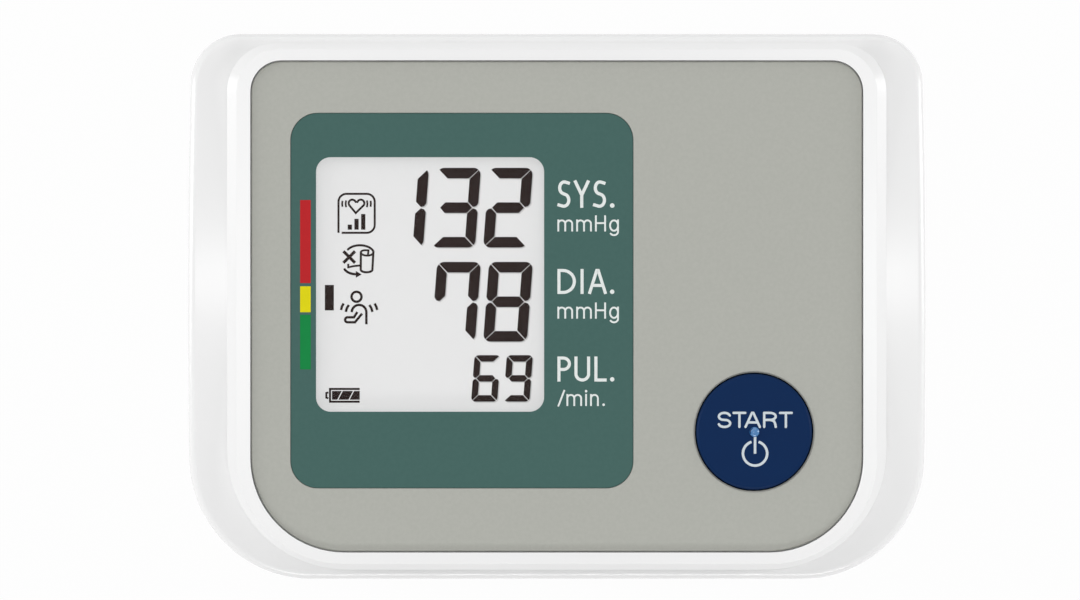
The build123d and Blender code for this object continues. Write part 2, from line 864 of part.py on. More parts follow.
# Tactile switch under the button
switch_top = board_depth - switch_height
stem_top = switch_top - stem_rise
collar_radius = stem_radius + collar_width
with BuildPart() as switch_body:
    with BuildSketch(deck.offset(-board_depth)):
        with Locations((button_u, button_v)):
            RectangleRounded(switch_width, switch_width, switch_corner)
    extrude(amount=switch_height)
    with BuildSketch(deck.offset(-board_depth)):
        with Locations((button_u, button_v)):
            Circle(stem_radius + slip)
    extrude(amount=switch_height, mode=Mode.SUBTRACT)
    with BuildSketch(deck.offset(-board_depth)):
        with Locations((button_u, button_v)):
            Circle(collar_radius + slip)
    extrude(amount=switch_height - stem_rise, mode=Mode.SUBTRACT)

with BuildPart() as switch_stem:
    with BuildSketch(deck.offset(-stem_top)):
        with Locations((button_u, button_v)):
            Circle(stem_radius)
    extrude(amount=-2 * stem_rise - slip)
    with BuildSketch(deck.offset(-switch_top - stem_rise - slip)):
        with Locations((button_u, button_v)):
            Circle(collar_radius)
    extrude(amount=-stem_rise)

dome_height = switch_height - 3 * stem_rise - button_travel - 2 * slip
with BuildPart() as switch_dome:
    with BuildSketch(
        Plane(origin=spot(button_u, button_v, board_depth), x_dir=(1, 0, 0), z_dir=-deck.y_dir)
    ):
        with BuildLine():
            rim = collar_radius
            outer = ThreePointArc((-rim, 0), (0, dome_height), (rim, 0))
            inner = ThreePointArc(
                (rim - dome_thickness, 0), (0, dome_height - dome_thickness), (dome_thickness - rim, 0)
            )
            Line(outer @ 1, inner @ 0)
            Line(inner @ 1, outer @ 0)
        make_face()
        with Locations((-width / 2, 0)):
            Rectangle(width, width, mode=Mode.SUBTRACT)
    revolve(axis=Axis(spot(button_u, button_v, 0), deck.z_dir))

button_top = panel_recess - button_rise
flange_top = floor_bottom + slip
with BuildPart() as start_button:
    with BuildSketch(deck.offset(-flange_top)):
        with Locations((button_u, button_v)):
            Circle(button_radius)
    extrude(amount=flange_top - button_top)
    fillet(
        start_button.faces().sort_by(Axis(deck.origin, deck.z_dir))[-1].edges(),
        button_edge_radius,
    )
    with BuildSketch(deck.offset(-flange_top)):
        with Locations((button_u, button_v)):
            Circle(button_radius + button_flange)
    extrude(amount=-button_flange)
    with BuildSketch(deck.offset(-flange_top - button_flange)):
        with Locations((button_u, button_v)):
            Circle(button_radius - button_skin)
    extrude(amount=flange_top + button_flange - button_top - button_skin, mode=Mode.SUBTRACT)
    with BuildSketch(deck.offset(-stem_top + slip)):
        with Locations((button_u, button_v)):
            Circle(stem_radius)
            Rectangle(2 * button_radius - button_skin, button_rib)
            Rectangle(button_rib, 2 * button_radius - button_skin)
    extrude(amount=stem_top - slip - button_top - button_skin / 2)
    with BuildSketch(deck.offset(-button_top)):
        with Locations((button_u, button_v)):
            Circle(dot_radius)
    extrude(amount=dot_height)
    fillet(
        start_button.faces().sort_by(Axis(deck.origin, deck.z_dir))[-1].edges(),
        dot_height - slip,
    )

# Pressure sensor under the board, its nozzle over the manifold
line_v = (line_y - deck_y) * slope + (line_z - deck_z) * rise
line_depth = (line_y - deck_y) * rise - (line_z - deck_z) * slope
with BuildPart() as pressure_sensor:
    with BuildSketch(deck.offset(-board_bottom)):
        with Locations((manifold_x, line_v)):
            RectangleRounded(sensor_width, sensor_length, switch_corner)
    extrude(amount=-sensor_height)
    with BuildSketch(deck.offset(-board_bottom)):
        with Locations((manifold_x, line_v)):
            Circle(barb_radius)
    extrude(amount=-sensor_height - sensor_nozzle)
    with BuildSketch(deck.offset(-board_bottom - sensor_height / 2)):
        with Locations((manifold_x, line_v)):
            Circle(barb_bore)
    extrude(amount=-board_depth, mode=Mode.SUBTRACT)

# Exhaust valve under the board, its axis along the slope
valve_depth = board_bottom + valve_drop
valve_front, valve_back = valve_v - valve_length / 2, valve_v + valve_length / 2


def valve_plane(v: float) -> Plane:
    """Plane across the valve's axis at v, looking down the slope."""
    return Plane(origin=spot(valve_u, v, valve_depth), x_dir=(1, 0, 0), z_dir=-deck.y_dir)


with BuildPart() as valve_yoke:
    with BuildSketch(valve_plane(valve_back)):
        with Locations((0, valve_drop / 2 - coil_radius / 2)):
            Rectangle(yoke_width, valve_drop + coil_radius)
    extrude(amount=valve_length)
    with BuildSketch(valve_plane(valve_back - yoke_thickness)):
        with Locations((0, -yoke_thickness)):
            Rectangle(2 * yoke_width, 2 * valve_drop)
    extrude(amount=valve_length - 2 * yoke_thickness, mode=Mode.SUBTRACT)
    with BuildSketch(valve_plane(valve_back)):
        Circle(plunger_radius + 2 * slip)
    extrude(amount=valve_length, mode=Mode.SUBTRACT)

with BuildPart() as valve_coil:
    with BuildSketch(valve_plane(valve_back - yoke_thickness)):
        Circle(coil_radius - bobbin_inset)
        Circle(plunger_radius + 2 * slip, mode=Mode.SUBTRACT)
    extrude(amount=valve_length - 2 * yoke_thickness)
    with BuildSketch(valve_plane(valve_back - 2 * yoke_thickness)):
        Circle(coil_radius)
        Circle(coil_radius - bobbin_wall, mode=Mode.SUBTRACT)
    extrude(amount=valve_length - 4 * yoke_thickness, mode=Mode.SUBTRACT)
    with BuildSketch(valve_plane(valve_back - 2 * yoke_thickness)):
        Circle(coil_radius - winding_inset)
        Circle(coil_radius - winding_inset - winding_depth, mode=Mode.SUBTRACT)
    extrude(amount=valve_length - 4 * yoke_thickness)

with BuildPart() as valve_seat:
    with BuildSketch(valve_plane(valve_front)):
        Circle(coil_radius - seat_inset)
    extrude(amount=seat_length)
    with BuildSketch(valve_plane(valve_front)):
        Circle(barb_radius)
    extrude(amount=seat_length + barb_length)
    with BuildSketch(valve_plane(valve_front)):
        Circle(barb_bore)
    extrude(amount=seat_length + barb_length, mode=Mode.SUBTRACT)

plunger_front = valve_front + slip + plunger_travel
plunger_back = valve_back + plunger_tail
with BuildPart() as valve_plunger:
    with BuildSketch(valve_plane(plunger_back)):
        Circle(plunger_radius)
    extrude(amount=plunger_back - plunger_front)
    with BuildSketch(valve_plane(plunger_back + plunger_head)):
        Circle(plunger_radius + plunger_head)
    extrude(amount=plunger_head)

spring_free = plunger_back - valve_back - 2 * (spring_wire + slip)
spring_start = spot(valve_u, valve_back + spring_wire + slip, valve_depth)
spring_coil_radius = plunger_radius + spring_wire + loose
with BuildPart() as valve_spring:
    with BuildLine():
        coil_path = Helix(
            spring_free / spring_turns,
            spring_free,
            spring_coil_radius,
            center=spring_start,
            direction=deck.y_dir,
        )
    with BuildSketch(Plane(origin=coil_path @ 0, z_dir=coil_path % 0)):
        Circle(spring_wire)
    sweep(is_frenet=True)

# Air lines: socket, manifold and pump nozzle on one line across the housing
socket_back = socket_face - socket_flange - socket_length
with BuildPart() as air_socket:
    with BuildSketch(Plane.YZ.offset(-socket_face)):
        with Locations((line_y, line_z)):
            Circle(socket_flange_radius)
    extrude(amount=socket_flange)
    with BuildSketch(Plane.YZ.offset(-socket_face)):
        with Locations((line_y, line_z)):
            Circle(socket_radius)
    extrude(amount=socket_face - socket_back)
    with BuildSketch(Plane.YZ.offset(-socket_back)):
        with Locations((line_y, line_z)):
            Circle(barb_radius)
    extrude(amount=barb_length)
    with BuildSketch(Plane.YZ.offset(-socket_face)):
        with Locations((line_y, line_z)):
            Circle(socket_bore)
    extrude(amount=socket_depth, mode=Mode.SUBTRACT)
    with BuildSketch(Plane.YZ.offset(-socket_face)):
        with Locations((line_y, line_z)):
            Circle(barb_bore)
    extrude(amount=socket_face, mode=Mode.SUBTRACT)

manifold_left = manifold_x - manifold_length / 2
manifold_right = manifold_x + manifold_length / 2
up_plane = Plane(origin=(manifold_x, line_y, line_z), x_dir=(1, 0, 0), z_dir=deck.z_dir)
front_plane = Plane(origin=(manifold_x, line_y, line_z), x_dir=(1, 0, 0), z_dir=(0, -1, 0))
with BuildPart() as air_manifold:
    with BuildSketch(Plane.YZ.offset(manifold_left)):
        with Locations((line_y, line_z)):
            Circle(manifold_radius)
    extrude(amount=manifold_length)
    with BuildSketch(Plane.YZ.offset(manifold_left - barb_length)):
        with Locations((line_y, line_z)):
            Circle(barb_radius)
    extrude(amount=manifold_length + 2 * barb_length)
    for port in (up_plane, front_plane):
        with BuildSketch(port):
            Circle(barb_radius)
        extrude(amount=manifold_radius + (barb_length if port is front_plane else port_stub))
    for port in (up_plane, front_plane):
        with BuildSketch(port):
            Circle(barb_bore)
        extrude(amount=manifold_radius + barb_length, mode=Mode.SUBTRACT)
    with BuildSketch(Plane.YZ.offset(manifold_left - barb_length)):
        with Locations((line_y, line_z)):
            Circle(barb_bore)
    extrude(amount=manifold_length + 2 * barb_length, mode=Mode.SUBTRACT)

head_chord = (pump_radius**2 - (line_z - pump_z) ** 2) ** 0.5
nozzle_tip = pump_x - head_chord - barb_length - head_wall


def straight_tube(start: float, end: float) -> Part:
    """Rubber tube along the air line, from x start to x end."""
    with BuildPart(mode=Mode.PRIVATE) as tube:
        with BuildSketch(Plane.YZ.offset(start)):
            with Locations((line_y, line_z)):
                Circle(tube_radius)
                Circle(tube_bore, mode=Mode.SUBTRACT)
        extrude(amount=end - start)
    return tube.part


with BuildPart() as socket_tube:
    add(straight_tube(loose - socket_back, manifold_left - loose))

with BuildPart() as pump_tube:
    add(straight_tube(manifold_right + loose, pump_x - head_chord - tube_seat))

with BuildPart() as sensor_tube:
    with BuildSketch(deck.offset(-line_depth + manifold_radius + 4 * loose)):
        with Locations((manifold_x, line_v)):
            Circle(tube_radius)
            Circle(tube_bore, mode=Mode.SUBTRACT)
    extrude(amount=line_depth - manifold_radius - board_bottom - sensor_height - 5 * loose)

seat_face = valve_front - seat_length
with BuildPart() as valve_tube:
    with BuildLine() as valve_route:
        FilletPolyline(
            spot(valve_u, seat_face - loose, valve_depth),
            spot(valve_u, seat_face - barb_length - valve_run, valve_depth),
            (manifold_x, line_y - manifold_radius - barb_length - manifold_run, line_z),
            (manifold_x, line_y - manifold_radius - tube_seat, line_z),
            radius=[valve_bend, manifold_bend],
        )
    with BuildSketch(
        Plane(origin=valve_route.line @ 0, x_dir=(1, 0, 0), z_dir=-deck.y_dir)
    ):
        Circle(tube_radius)
        Circle(tube_bore, mode=Mode.SUBTRACT)
    sweep()

# Pump: motor, crank, drive plate, three-cup diaphragm and head, along Y
motor_front = motor_back - motor_length
diaphragm_front = pump_front - diaphragm_thickness
plate_front = diaphragm_front - valve_plate_thickness


def pump_plane(y: float) -> Plane:
    """Plane across the pump's axis at y, facing the user."""
    return across_plane(y, pump_z)


with BuildPart() as pump_motor_can:
    with BuildSketch(pump_plane(motor_back)):
        Circle(motor_radius)
    extrude(amount=motor_length)
    fillet(pump_motor_can.edges().group_by(Axis.Y)[0], casting_edge)
    with BuildSketch(pump_plane(motor_back)):
        Circle(motor_radius - motor_wall)
    extrude(amount=motor_length - motor_wall, mode=Mode.SUBTRACT)
    with BuildSketch(pump_plane(motor_back)):
        Circle(bearing_radius)
    extrude(amount=motor_length, mode=Mode.SUBTRACT)

magnet_length = motor_length - 2 * magnet_end
rotor_radius = motor_radius - motor_wall - magnet_thickness - rotor_gap
with BuildPart() as pump_motor_magnets:
    with BuildSketch(pump_plane(motor_back - magnet_end)):
        Circle(motor_radius - motor_wall - slip)
        Circle(rotor_radius + rotor_gap - loose, mode=Mode.SUBTRACT)
        Rectangle(2 * motor_radius, magnet_slot, mode=Mode.SUBTRACT)
    extrude(amount=magnet_length)

crank_back = motor_front - 2 * motor_wall - loose
with BuildPart() as pump_motor_rotor:
    with BuildSketch(pump_plane(motor_back + cap_thickness / 2)):
        Circle(shaft_radius)
    extrude(amount=motor_length + cap_thickness / 2 + 2 * motor_wall + loose + crank_thickness / 2)
    with BuildSketch(pump_plane(motor_back - rotor_end)):
        Circle(rotor_radius)
        with PolarLocations(rotor_radius, 3, start_angle=90):
            Rectangle(2 * rotor_slot_depth, rotor_slot, mode=Mode.SUBTRACT)
    extrude(amount=motor_length - 2 * rotor_end)
    with BuildSketch(pump_plane(motor_back - commutator_start)):
        Circle(rotor_radius / 3)
    extrude(amount=commutator_length)

with BuildPart() as pump_bearings:
    for start in (motor_back + cap_thickness, motor_front + motor_wall):
        with BuildSketch(pump_plane(start)):
            Circle(bearing_radius)
            Circle(shaft_radius + slip, mode=Mode.SUBTRACT)
        extrude(amount=2 * motor_wall)

with BuildPart() as pump_motor_end_cap:
    with BuildSketch(pump_plane(motor_back + cap_thickness)):
        Circle(motor_radius - motor_wall / 2)
        Circle(bearing_radius, mode=Mode.SUBTRACT)
    extrude(amount=cap_thickness)
    with BuildSketch(pump_plane(motor_back)):
        Circle(motor_radius - motor_wall - slip)
        Circle(motor_radius - motor_wall - cap_collar, mode=Mode.SUBTRACT)
    extrude(amount=cap_collar_length)

with BuildPart() as pump_crank:
    with BuildSketch(pump_plane(crank_back)):
        Circle(crank_radius)
    extrude(amount=crank_thickness)
    with BuildSketch(pump_plane(crank_back - crank_thickness)):
        with Locations((pin_offset, 0)):
            Circle(pin_radius)
    extrude(amount=pin_length)
    with BuildSketch(pump_plane(crank_back)):
        Circle(shaft_radius)
    extrude(amount=crank_thickness / 2, mode=Mode.SUBTRACT)

with BuildPart() as pump_crank_case:
    with BuildSketch(pump_plane(motor_front)):
        Circle(pump_radius)
    extrude(amount=crank_case_length)
    with BuildSketch(pump_plane(motor_front - 2 * motor_wall)):
        Circle(pump_radius - 2 * motor_wall)
    extrude(amount=crank_case_length, mode=Mode.SUBTRACT)
    with BuildSketch(pump_plane(motor_front)):
        Circle(bearing_radius + loose)
    extrude(amount=crank_case_length, mode=Mode.SUBTRACT)

drive_back = crank_back - crank_thickness - drive_gap
with BuildPart() as pump_drive_plate:
    with BuildSketch(pump_plane(drive_back)):
        Circle(crank_radius)
        with PolarLocations(cup_ring / 2, 3, start_angle=90):
            Rectangle(cup_ring, drive_arm)
        with PolarLocations(cup_ring, 3, start_angle=90):
            Circle(drive_pad_radius)
        Circle(pin_offset + pin_radius + pin_swing, mode=Mode.SUBTRACT)
    extrude(amount=drive_thickness)

with BuildPart() as pump_diaphragm:
    with BuildSketch(pump_plane(pump_front)):
        Circle(pump_radius)
    extrude(amount=diaphragm_thickness)
    with BuildSketch(pump_plane(pump_front + cup_length)):
        with PolarLocations(cup_ring, 3, start_angle=90):
            Circle(cup_radius)
    extrude(amount=cup_length)
    with BuildSketch(pump_plane(drive_back - drive_thickness - loose)):
        with PolarLocations(cup_ring, 3, start_angle=90):
            Circle(cup_neck_radius)
    extrude(amount=drive_back - drive_thickness - loose - pump_front)
    with BuildSketch(pump_plane(pump_front + cup_length - cup_floor)):
        with PolarLocations(cup_ring, 3, start_angle=90):
            Circle(cup_radius - cup_wall)
    extrude(amount=cup_length + diaphragm_thickness, mode=Mode.SUBTRACT)

with BuildPart() as pump_valve_plate:
    with BuildSketch(pump_plane(diaphragm_front)):
        Circle(pump_radius)
        with PolarLocations(cup_ring, 3, start_angle=90):
            Circle(port_radius, mode=Mode.SUBTRACT)
        with PolarLocations(port_ring, 3, start_angle=90):
            Circle(port_radius, mode=Mode.SUBTRACT)
    extrude(amount=valve_plate_thickness)

with BuildPart() as pump_head:
    with BuildSketch(pump_plane(plate_front)):
        Circle(pump_radius)
    extrude(amount=head_length)
    fillet(pump_head.edges().group_by(Axis.Y)[0], casting_edge)
    with BuildSketch(Plane.YZ.offset(nozzle_tip)):
        with Locations((line_y, line_z)):
            Circle(barb_radius)
    extrude(amount=pump_x - nozzle_tip - nozzle_root)
    with BuildSketch(Plane.YZ.offset(nozzle_tip)):
        with Locations((line_y, line_z)):
            Circle(barb_bore)
    extrude(amount=pump_x - nozzle_tip - nozzle_root, mode=Mode.SUBTRACT)
    with BuildSketch(pump_plane(plate_front)):
        Circle(pump_radius / 2)
    extrude(amount=head_length - head_wall, mode=Mode.SUBTRACT)

with BuildPart() as pump_cushions:
    for y, inner in zip(saddle_ys, (pump_radius, motor_radius)):
        with BuildSketch(pump_plane(y + cushion_width / 2)):
            Circle(cushion_radius)
            Circle(inner, mode=Mode.SUBTRACT)
        extrude(amount=cushion_width)

# Contacts: one pair at each end joins two cells, and two terminals lead out
contact_reach = spring_reach - slip


def contact(xs: list[float], at_back: bool, springs: list[float]) -> Part:
    """Contact strip on one end wall, over the cells at xs, with leaf springs at springs."""
    inward = -1 if at_back else 1
    wall_y = bay_back if at_back else bay_front
    face_y = wall_y + inward * contact_thickness
    with BuildPart(mode=Mode.PRIVATE) as strip:
        with BuildSketch(Plane.XZ.offset(-max(wall_y, face_y))):
            with Locations((sum(xs) / len(xs), cell_z)):
                Rectangle(max(xs) - min(xs) + contact_width, contact_height)
        extrude(amount=contact_thickness)
        for x in springs:
            with BuildSketch(Plane.YZ.offset(x - spring_width / 2)):
                with BuildLine():
                    half = contact_height / 2 - slip
                    root = face_y - inward * contact_thickness / 2
                    tip = face_y + inward * contact_reach
                    outer = ThreePointArc(
                        (root, cell_z - half), (tip, cell_z), (root, cell_z + half)
                    )
                    inner = ThreePointArc(
                        (root, cell_z + half - spring_thickness),
                        (tip - inward * spring_thickness, cell_z),
                        (root, cell_z - half + spring_thickness),
                    )
                    Line(outer @ 1, inner @ 0)
                    Line(inner @ 1, outer @ 0)
                make_face()
            extrude(amount=spring_width)
    return strip.part


with BuildPart() as battery_contacts_back:
    add(contact(cell_xs[0:2], True, [cell_xs[1]]))
    add(contact(cell_xs[2:4], True, [cell_xs[3]]))
with BuildPart() as battery_contact_front:
    add(contact(cell_xs[1:3], False, [cell_xs[2]]))
with BuildPart() as battery_terminal_negative:
    add(contact(cell_xs[0:1], False, [cell_xs[0]]))
with BuildPart() as battery_terminal_positive:
    add(contact(cell_xs[3:4], False, []))


def battery_cell(x: float, nub_at_back: bool) -> Part:
    """AA cell along Y, its nub on the plain contact and its base on the spring."""
    outward = 1 if nub_at_back else -1
    nub_y = (bay_back if nub_at_back else bay_front) - outward * contact_thickness
    start = Plane(origin=(x, nub_y, cell_z), x_dir=(1, 0, 0), z_dir=(0, -outward, 0))
    with BuildPart(mode=Mode.PRIVATE) as cell:
        with BuildSketch(start.offset(cell_nub_length)):
            Circle(cell_radius)
        extrude(amount=cell_length - cell_nub_length)
        fillet(cell.edges(), cell_edge_radius)
        with BuildSketch(start):
            Circle(cell_nub_radius)
        extrude(amount=cell_nub_length)
    return cell.part


with BuildPart() as battery_cell_1:
    add(battery_cell(cell_xs[0], True))
with BuildPart() as battery_cell_2:
    add(battery_cell(cell_xs[1], False))
with BuildPart() as battery_cell_3:
    add(battery_cell(cell_xs[2], True))
with BuildPart() as battery_cell_4:
    add(battery_cell(cell_xs[3], False))

# Battery cover: two hooks at the front, a springy arm with a finger tab at the back
arm_start = latch_start + latch_side_gap
arm_end = arm_start + latch_reach
arm_bend_z = cover_inside + latch_height - latch_reach / 2
with BuildPart() as battery_cover:
    with BuildSketch(Plane.XY.offset(base_z)):
        with Locations((bay_x, bay_y)):
            Rectangle(cover_width, cover_length)
    extrude(amount=cover_thickness)
    for side in (-1, 1):
        with Locations((bay_x + side * cell_pitch, bay_front + hook_inset, cover_inside)):
            Box(
                hook_width,
                hook_reach + cover_lap,
                hook_thickness,
                align=(Align.CENTER, Align.MAX, Align.MIN),
            )
    with BuildSketch(Plane.YZ.offset(bay_x - latch_width / 2)):
        with Locations(((arm_start + arm_end) / 2, arm_bend_z)):
            Circle(latch_reach / 2)
            Circle(latch_gap / 2, mode=Mode.SUBTRACT)
            Rectangle(
                latch_reach, latch_reach, align=(Align.CENTER, Align.MAX), mode=Mode.SUBTRACT
            )
        with Locations((arm_start, base_z)):
            Rectangle(latch_thickness, arm_bend_z - base_z, align=Align.MIN)
        with Locations((arm_end, base_z + 2 * loose)):
            Rectangle(
                latch_thickness, arm_bend_z - base_z - 2 * loose, align=(Align.MAX, Align.MIN)
            )
            Rectangle(latch_tab_length, latch_tab_thickness, align=Align.MIN)
        with Locations((arm_start, base_z)):
            Rectangle(cover_lap + latch_side_gap, cover_thickness, align=(Align.MAX, Align.MIN))
        with BuildLine():
            Polyline(
                (arm_end, cover_inside + latch_nib_z),
                (arm_end + latch_nib, cover_inside + latch_nib_z),
                (arm_end, cover_inside + latch_nib_z + 2 * latch_nib),
                close=True,
            )
        make_face()
    extrude(amount=latch_width)

# Socket for a mains adapter, held in the right wall
with BuildPart() as dc_jack:
    with BuildSketch(Plane.YZ.offset(jack_face)):
        with Locations((jack_y, jack_z)):
            Circle(jack_nose_radius)
    extrude(amount=-jack_nose_radius)
    with BuildSketch(Plane.YZ.offset(jack_face - wall - jack_shoulder)):
        with Locations((jack_y, jack_z)):
            Rectangle(jack_body_width, jack_body_height)
    extrude(amount=-jack_body_length)
    with BuildSketch(Plane.YZ.offset(jack_face)):
        with Locations((jack_y, jack_z)):
            Circle(jack_bore)
            Circle(jack_pin_radius, mode=Mode.SUBTRACT)
    extrude(amount=-jack_depth, mode=Mode.SUBTRACT)

# Rubber feet
def foot(x: float, y: float) -> Part:
    """Round foot, let into the base."""
    with BuildPart(mode=Mode.PRIVATE) as pad:
        with BuildSketch(Plane.XY):
            with Locations((x, y)):
                Circle(foot_radius)
        extrude(amount=foot_height + foot_recess)
        fillet(pad.edges().group_by(Axis.Z)[0], foot_height / 2)
    return pad.part


with BuildPart() as foot_front_left:
    add(foot(*foot_sites[0]))
with BuildPart() as foot_front_right:
    add(foot(*foot_sites[1]))
with BuildPart() as foot_back_left:
    add(foot(*foot_sites[2]))
with BuildPart() as foot_back_right:
    add(foot(*foot_sites[3]))

# Screws
with BuildPart() as case_screws:
    for x, y, seam in case_screw_sites:
        with BuildSketch(Plane.XY.offset(seam - column_web)):
            with Locations((x, y)):
                Circle(screw_head_radius)
        extrude(amount=-case_head_height)
        with BuildSketch(Plane.XY.offset(seam - column_web)):
            with Locations((x, y)):
                Circle(screw_radius)
        extrude(amount=column_web + screw_grip - screw_radius)

with BuildPart() as board_screws:
    with BuildSketch(deck.offset(-board_bottom)):
        with Locations(*board_screw_sites):
            Circle(2 * board_screw_radius)
    extrude(amount=-screw_head_height)
    with BuildSketch(deck.offset(-board_bottom)):
        with Locations(*board_screw_sites):
            Circle(board_screw_radius)
    extrude(amount=board_thickness + board_depth - floor_bottom - 3 * loose)


def lead(points: list[Vector]) -> Part:
    """Insulated wire along straight runs joined by arcs."""
    with BuildPart(mode=Mode.PRIVATE) as wire:
        with BuildLine() as route:
            FilletPolyline(*points, radius=lead_bend)
        with BuildSketch(Plane(origin=route.line @ 0, z_dir=route.line % 0)):
            Circle(lead_radius)
        sweep()
    return wire.part


# Leads, each whole from its terminal to the board
battery_lead_y = bay_front - bay_wall - lead_radius - loose
with BuildPart() as battery_leads:
    for x in (cell_xs[0], cell_xs[3]):
        end = spot(x + lead_bend, board_front + lead_bend, board_bottom + lead_drop)
        add(
            lead(
                [
                    Vector(x, battery_lead_y, cell_z + contact_height / 2),
                    Vector(x, battery_lead_y - lead_radius, cell_z + contact_height),
                    Vector(x + lead_radius, battery_lead_y - lead_bend, end.Z - contact_height / 2),
                    end,
                ]
            )
        )

pump_lead_y = motor_back + cap_thickness + lead_radius + loose
with BuildPart() as pump_leads:
    for side in (-1, 1):
        x = pump_x + side * (bearing_radius + lead_radius)
        end = spot(x, board_back - lead_bend, board_bottom + lead_drop)
        add(
            lead(
                [
                    Vector(x, pump_lead_y, pump_z + bearing_radius + lead_radius),
                    Vector(x, pump_lead_y + lead_radius, pump_z + motor_radius),
                    Vector(x, pump_lead_y - 2 * lead_bend, end.Z - 3 * lead_bend),
                    end,
                ]
            )
        )

jack_lead_x = jack_face - wall - jack_shoulder - jack_body_length - lead_radius - loose
with BuildPart() as jack_leads:
    for side in (-1, 1):
        y = jack_y + side * jack_pin_radius * 2
        end = spot(jack_lead_x + lead_bend, y, board_bottom + lead_drop)
        add(
            lead(
                [
                    Vector(jack_lead_x, y, jack_z - lead_radius),
                    Vector(jack_lead_x - lead_radius, y, jack_z + 3 * lead_bend),
                    Vector(jack_lead_x + lead_radius, y + lead_radius, end.Z - 3 * lead_bend),
                    end,
                ]
            )
        )

pieces = {
    "top_case": top_case,
    "bottom_case": bottom_case,
    "front_panel": front_panel,
    "display_surround": display_surround,
    "window_lens": window_lens,
    "lcd_cell": lcd_cell,
    "lcd_reflector": lcd_reflector,
    "lcd_holder": lcd_holder,
    "lcd_connectors": lcd_connectors,
    "main_board": main_board,
    "microcontroller": microcontroller,
    "board_capacitors": board_capacitors,
    "buzzer": buzzer,
    "switch_body": switch_body,
    "switch_stem": switch_stem,
    "switch_dome": switch_dome,
    "start_button": start_button,
    "pressure_sensor": pressure_sensor,
    "valve_yoke": valve_yoke,
    "valve_coil": valve_coil,
    "valve_seat": valve_seat,
    "valve_plunger": valve_plunger,
    "valve_spring": valve_spring,
    "air_socket": air_socket,
    "air_manifold": air_manifold,
    "socket_tube": socket_tube,
    "pump_tube": pump_tube,
    "sensor_tube": sensor_tube,
    "valve_tube": valve_tube,
    "pump_motor_can": pump_motor_can,
    "pump_motor_magnets": pump_motor_magnets,
    "pump_motor_rotor": pump_motor_rotor,
    "pump_bearings": pump_bearings,
    "pump_motor_end_cap": pump_motor_end_cap,
    "pump_crank": pump_crank,
    "pump_crank_case": pump_crank_case,
    "pump_drive_plate": pump_drive_plate,
    "pump_diaphragm": pump_diaphragm,
    "pump_valve_plate": pump_valve_plate,
    "pump_head": pump_head,
    "pump_cushions": pump_cushions,
    "battery_contacts_back": battery_contacts_back,
    "battery_contact_front": battery_contact_front,
    "battery_terminal_negative": battery_terminal_negative,
    "battery_terminal_positive": battery_terminal_positive,
    "battery_cell_1": battery_cell_1,
    "battery_cell_2": battery_cell_2,
    "battery_cell_3": battery_cell_3,
    "battery_cell_4": battery_cell_4,
    "battery_cover": battery_cover,
    "dc_jack": dc_jack,
    "foot_front_left": foot_front_left,
    "foot_front_right": foot_front_right,
    "foot_back_left": foot_back_left,
    "foot_back_right": foot_back_right,
    "case_screws": case_screws,
    "board_screws": board_screws,
    "battery_leads": battery_leads,
    "pump_leads": pump_leads,
    "jack_leads": jack_leads,
}
os.makedirs("parts", exist_ok=True)
for name, piece in pieces.items():
    piece.part.label = name
    export_step(piece.part, f"parts/{name}.step")
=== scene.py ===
"""Looks of an upper arm blood pressure monitor: finishes, printed marks, display image, lights and camera.

Places on the face are (u, v, lift) in millimetres: u runs to the right and v up the slope, both from the
middle of the face, and lift is the height above the flat of the bezel, so it is negative inside the recess.
"""

import json
import logging
import math
from dataclasses import dataclass, field, replace
from enum import Enum

import bpy
import numpy as np
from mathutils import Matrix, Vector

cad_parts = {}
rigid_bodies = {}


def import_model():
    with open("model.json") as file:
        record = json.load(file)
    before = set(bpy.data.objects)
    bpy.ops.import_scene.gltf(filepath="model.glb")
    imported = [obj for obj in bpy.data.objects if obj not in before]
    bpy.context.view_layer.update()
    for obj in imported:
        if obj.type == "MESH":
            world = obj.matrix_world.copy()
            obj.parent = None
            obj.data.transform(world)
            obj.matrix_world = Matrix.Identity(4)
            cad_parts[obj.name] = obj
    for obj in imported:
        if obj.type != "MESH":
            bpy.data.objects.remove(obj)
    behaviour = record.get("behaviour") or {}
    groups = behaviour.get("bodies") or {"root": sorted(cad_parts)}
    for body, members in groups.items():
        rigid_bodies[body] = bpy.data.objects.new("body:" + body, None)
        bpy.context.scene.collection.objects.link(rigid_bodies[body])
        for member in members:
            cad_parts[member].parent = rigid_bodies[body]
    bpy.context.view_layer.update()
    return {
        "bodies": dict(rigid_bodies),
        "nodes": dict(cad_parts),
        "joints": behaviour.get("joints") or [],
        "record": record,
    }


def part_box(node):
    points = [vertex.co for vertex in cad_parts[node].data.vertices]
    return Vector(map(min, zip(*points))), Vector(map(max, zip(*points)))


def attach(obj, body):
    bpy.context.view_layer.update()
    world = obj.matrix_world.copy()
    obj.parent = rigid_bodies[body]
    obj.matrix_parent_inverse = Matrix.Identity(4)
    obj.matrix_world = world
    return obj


MM = 0.001
ARC_STEP = 10.0  # degrees between neighbouring points of a drawn arc
NOISE_LOW, NOISE_HIGH = 0.35, 0.65  # most of a noise texture's values lie between these
RADIAL_CYCLES = 60.0  # cycles per metre of a turned finish's noise along its rings
SINK = 0.01  # how far print reaches into what carries it, in millimetres
LOG = logging.getLogger("monitor")

Point = tuple[float, float]
Place = tuple[float, float, float]
Tree = bpy.types.NodeTree
Socket = bpy.types.NodeSocket


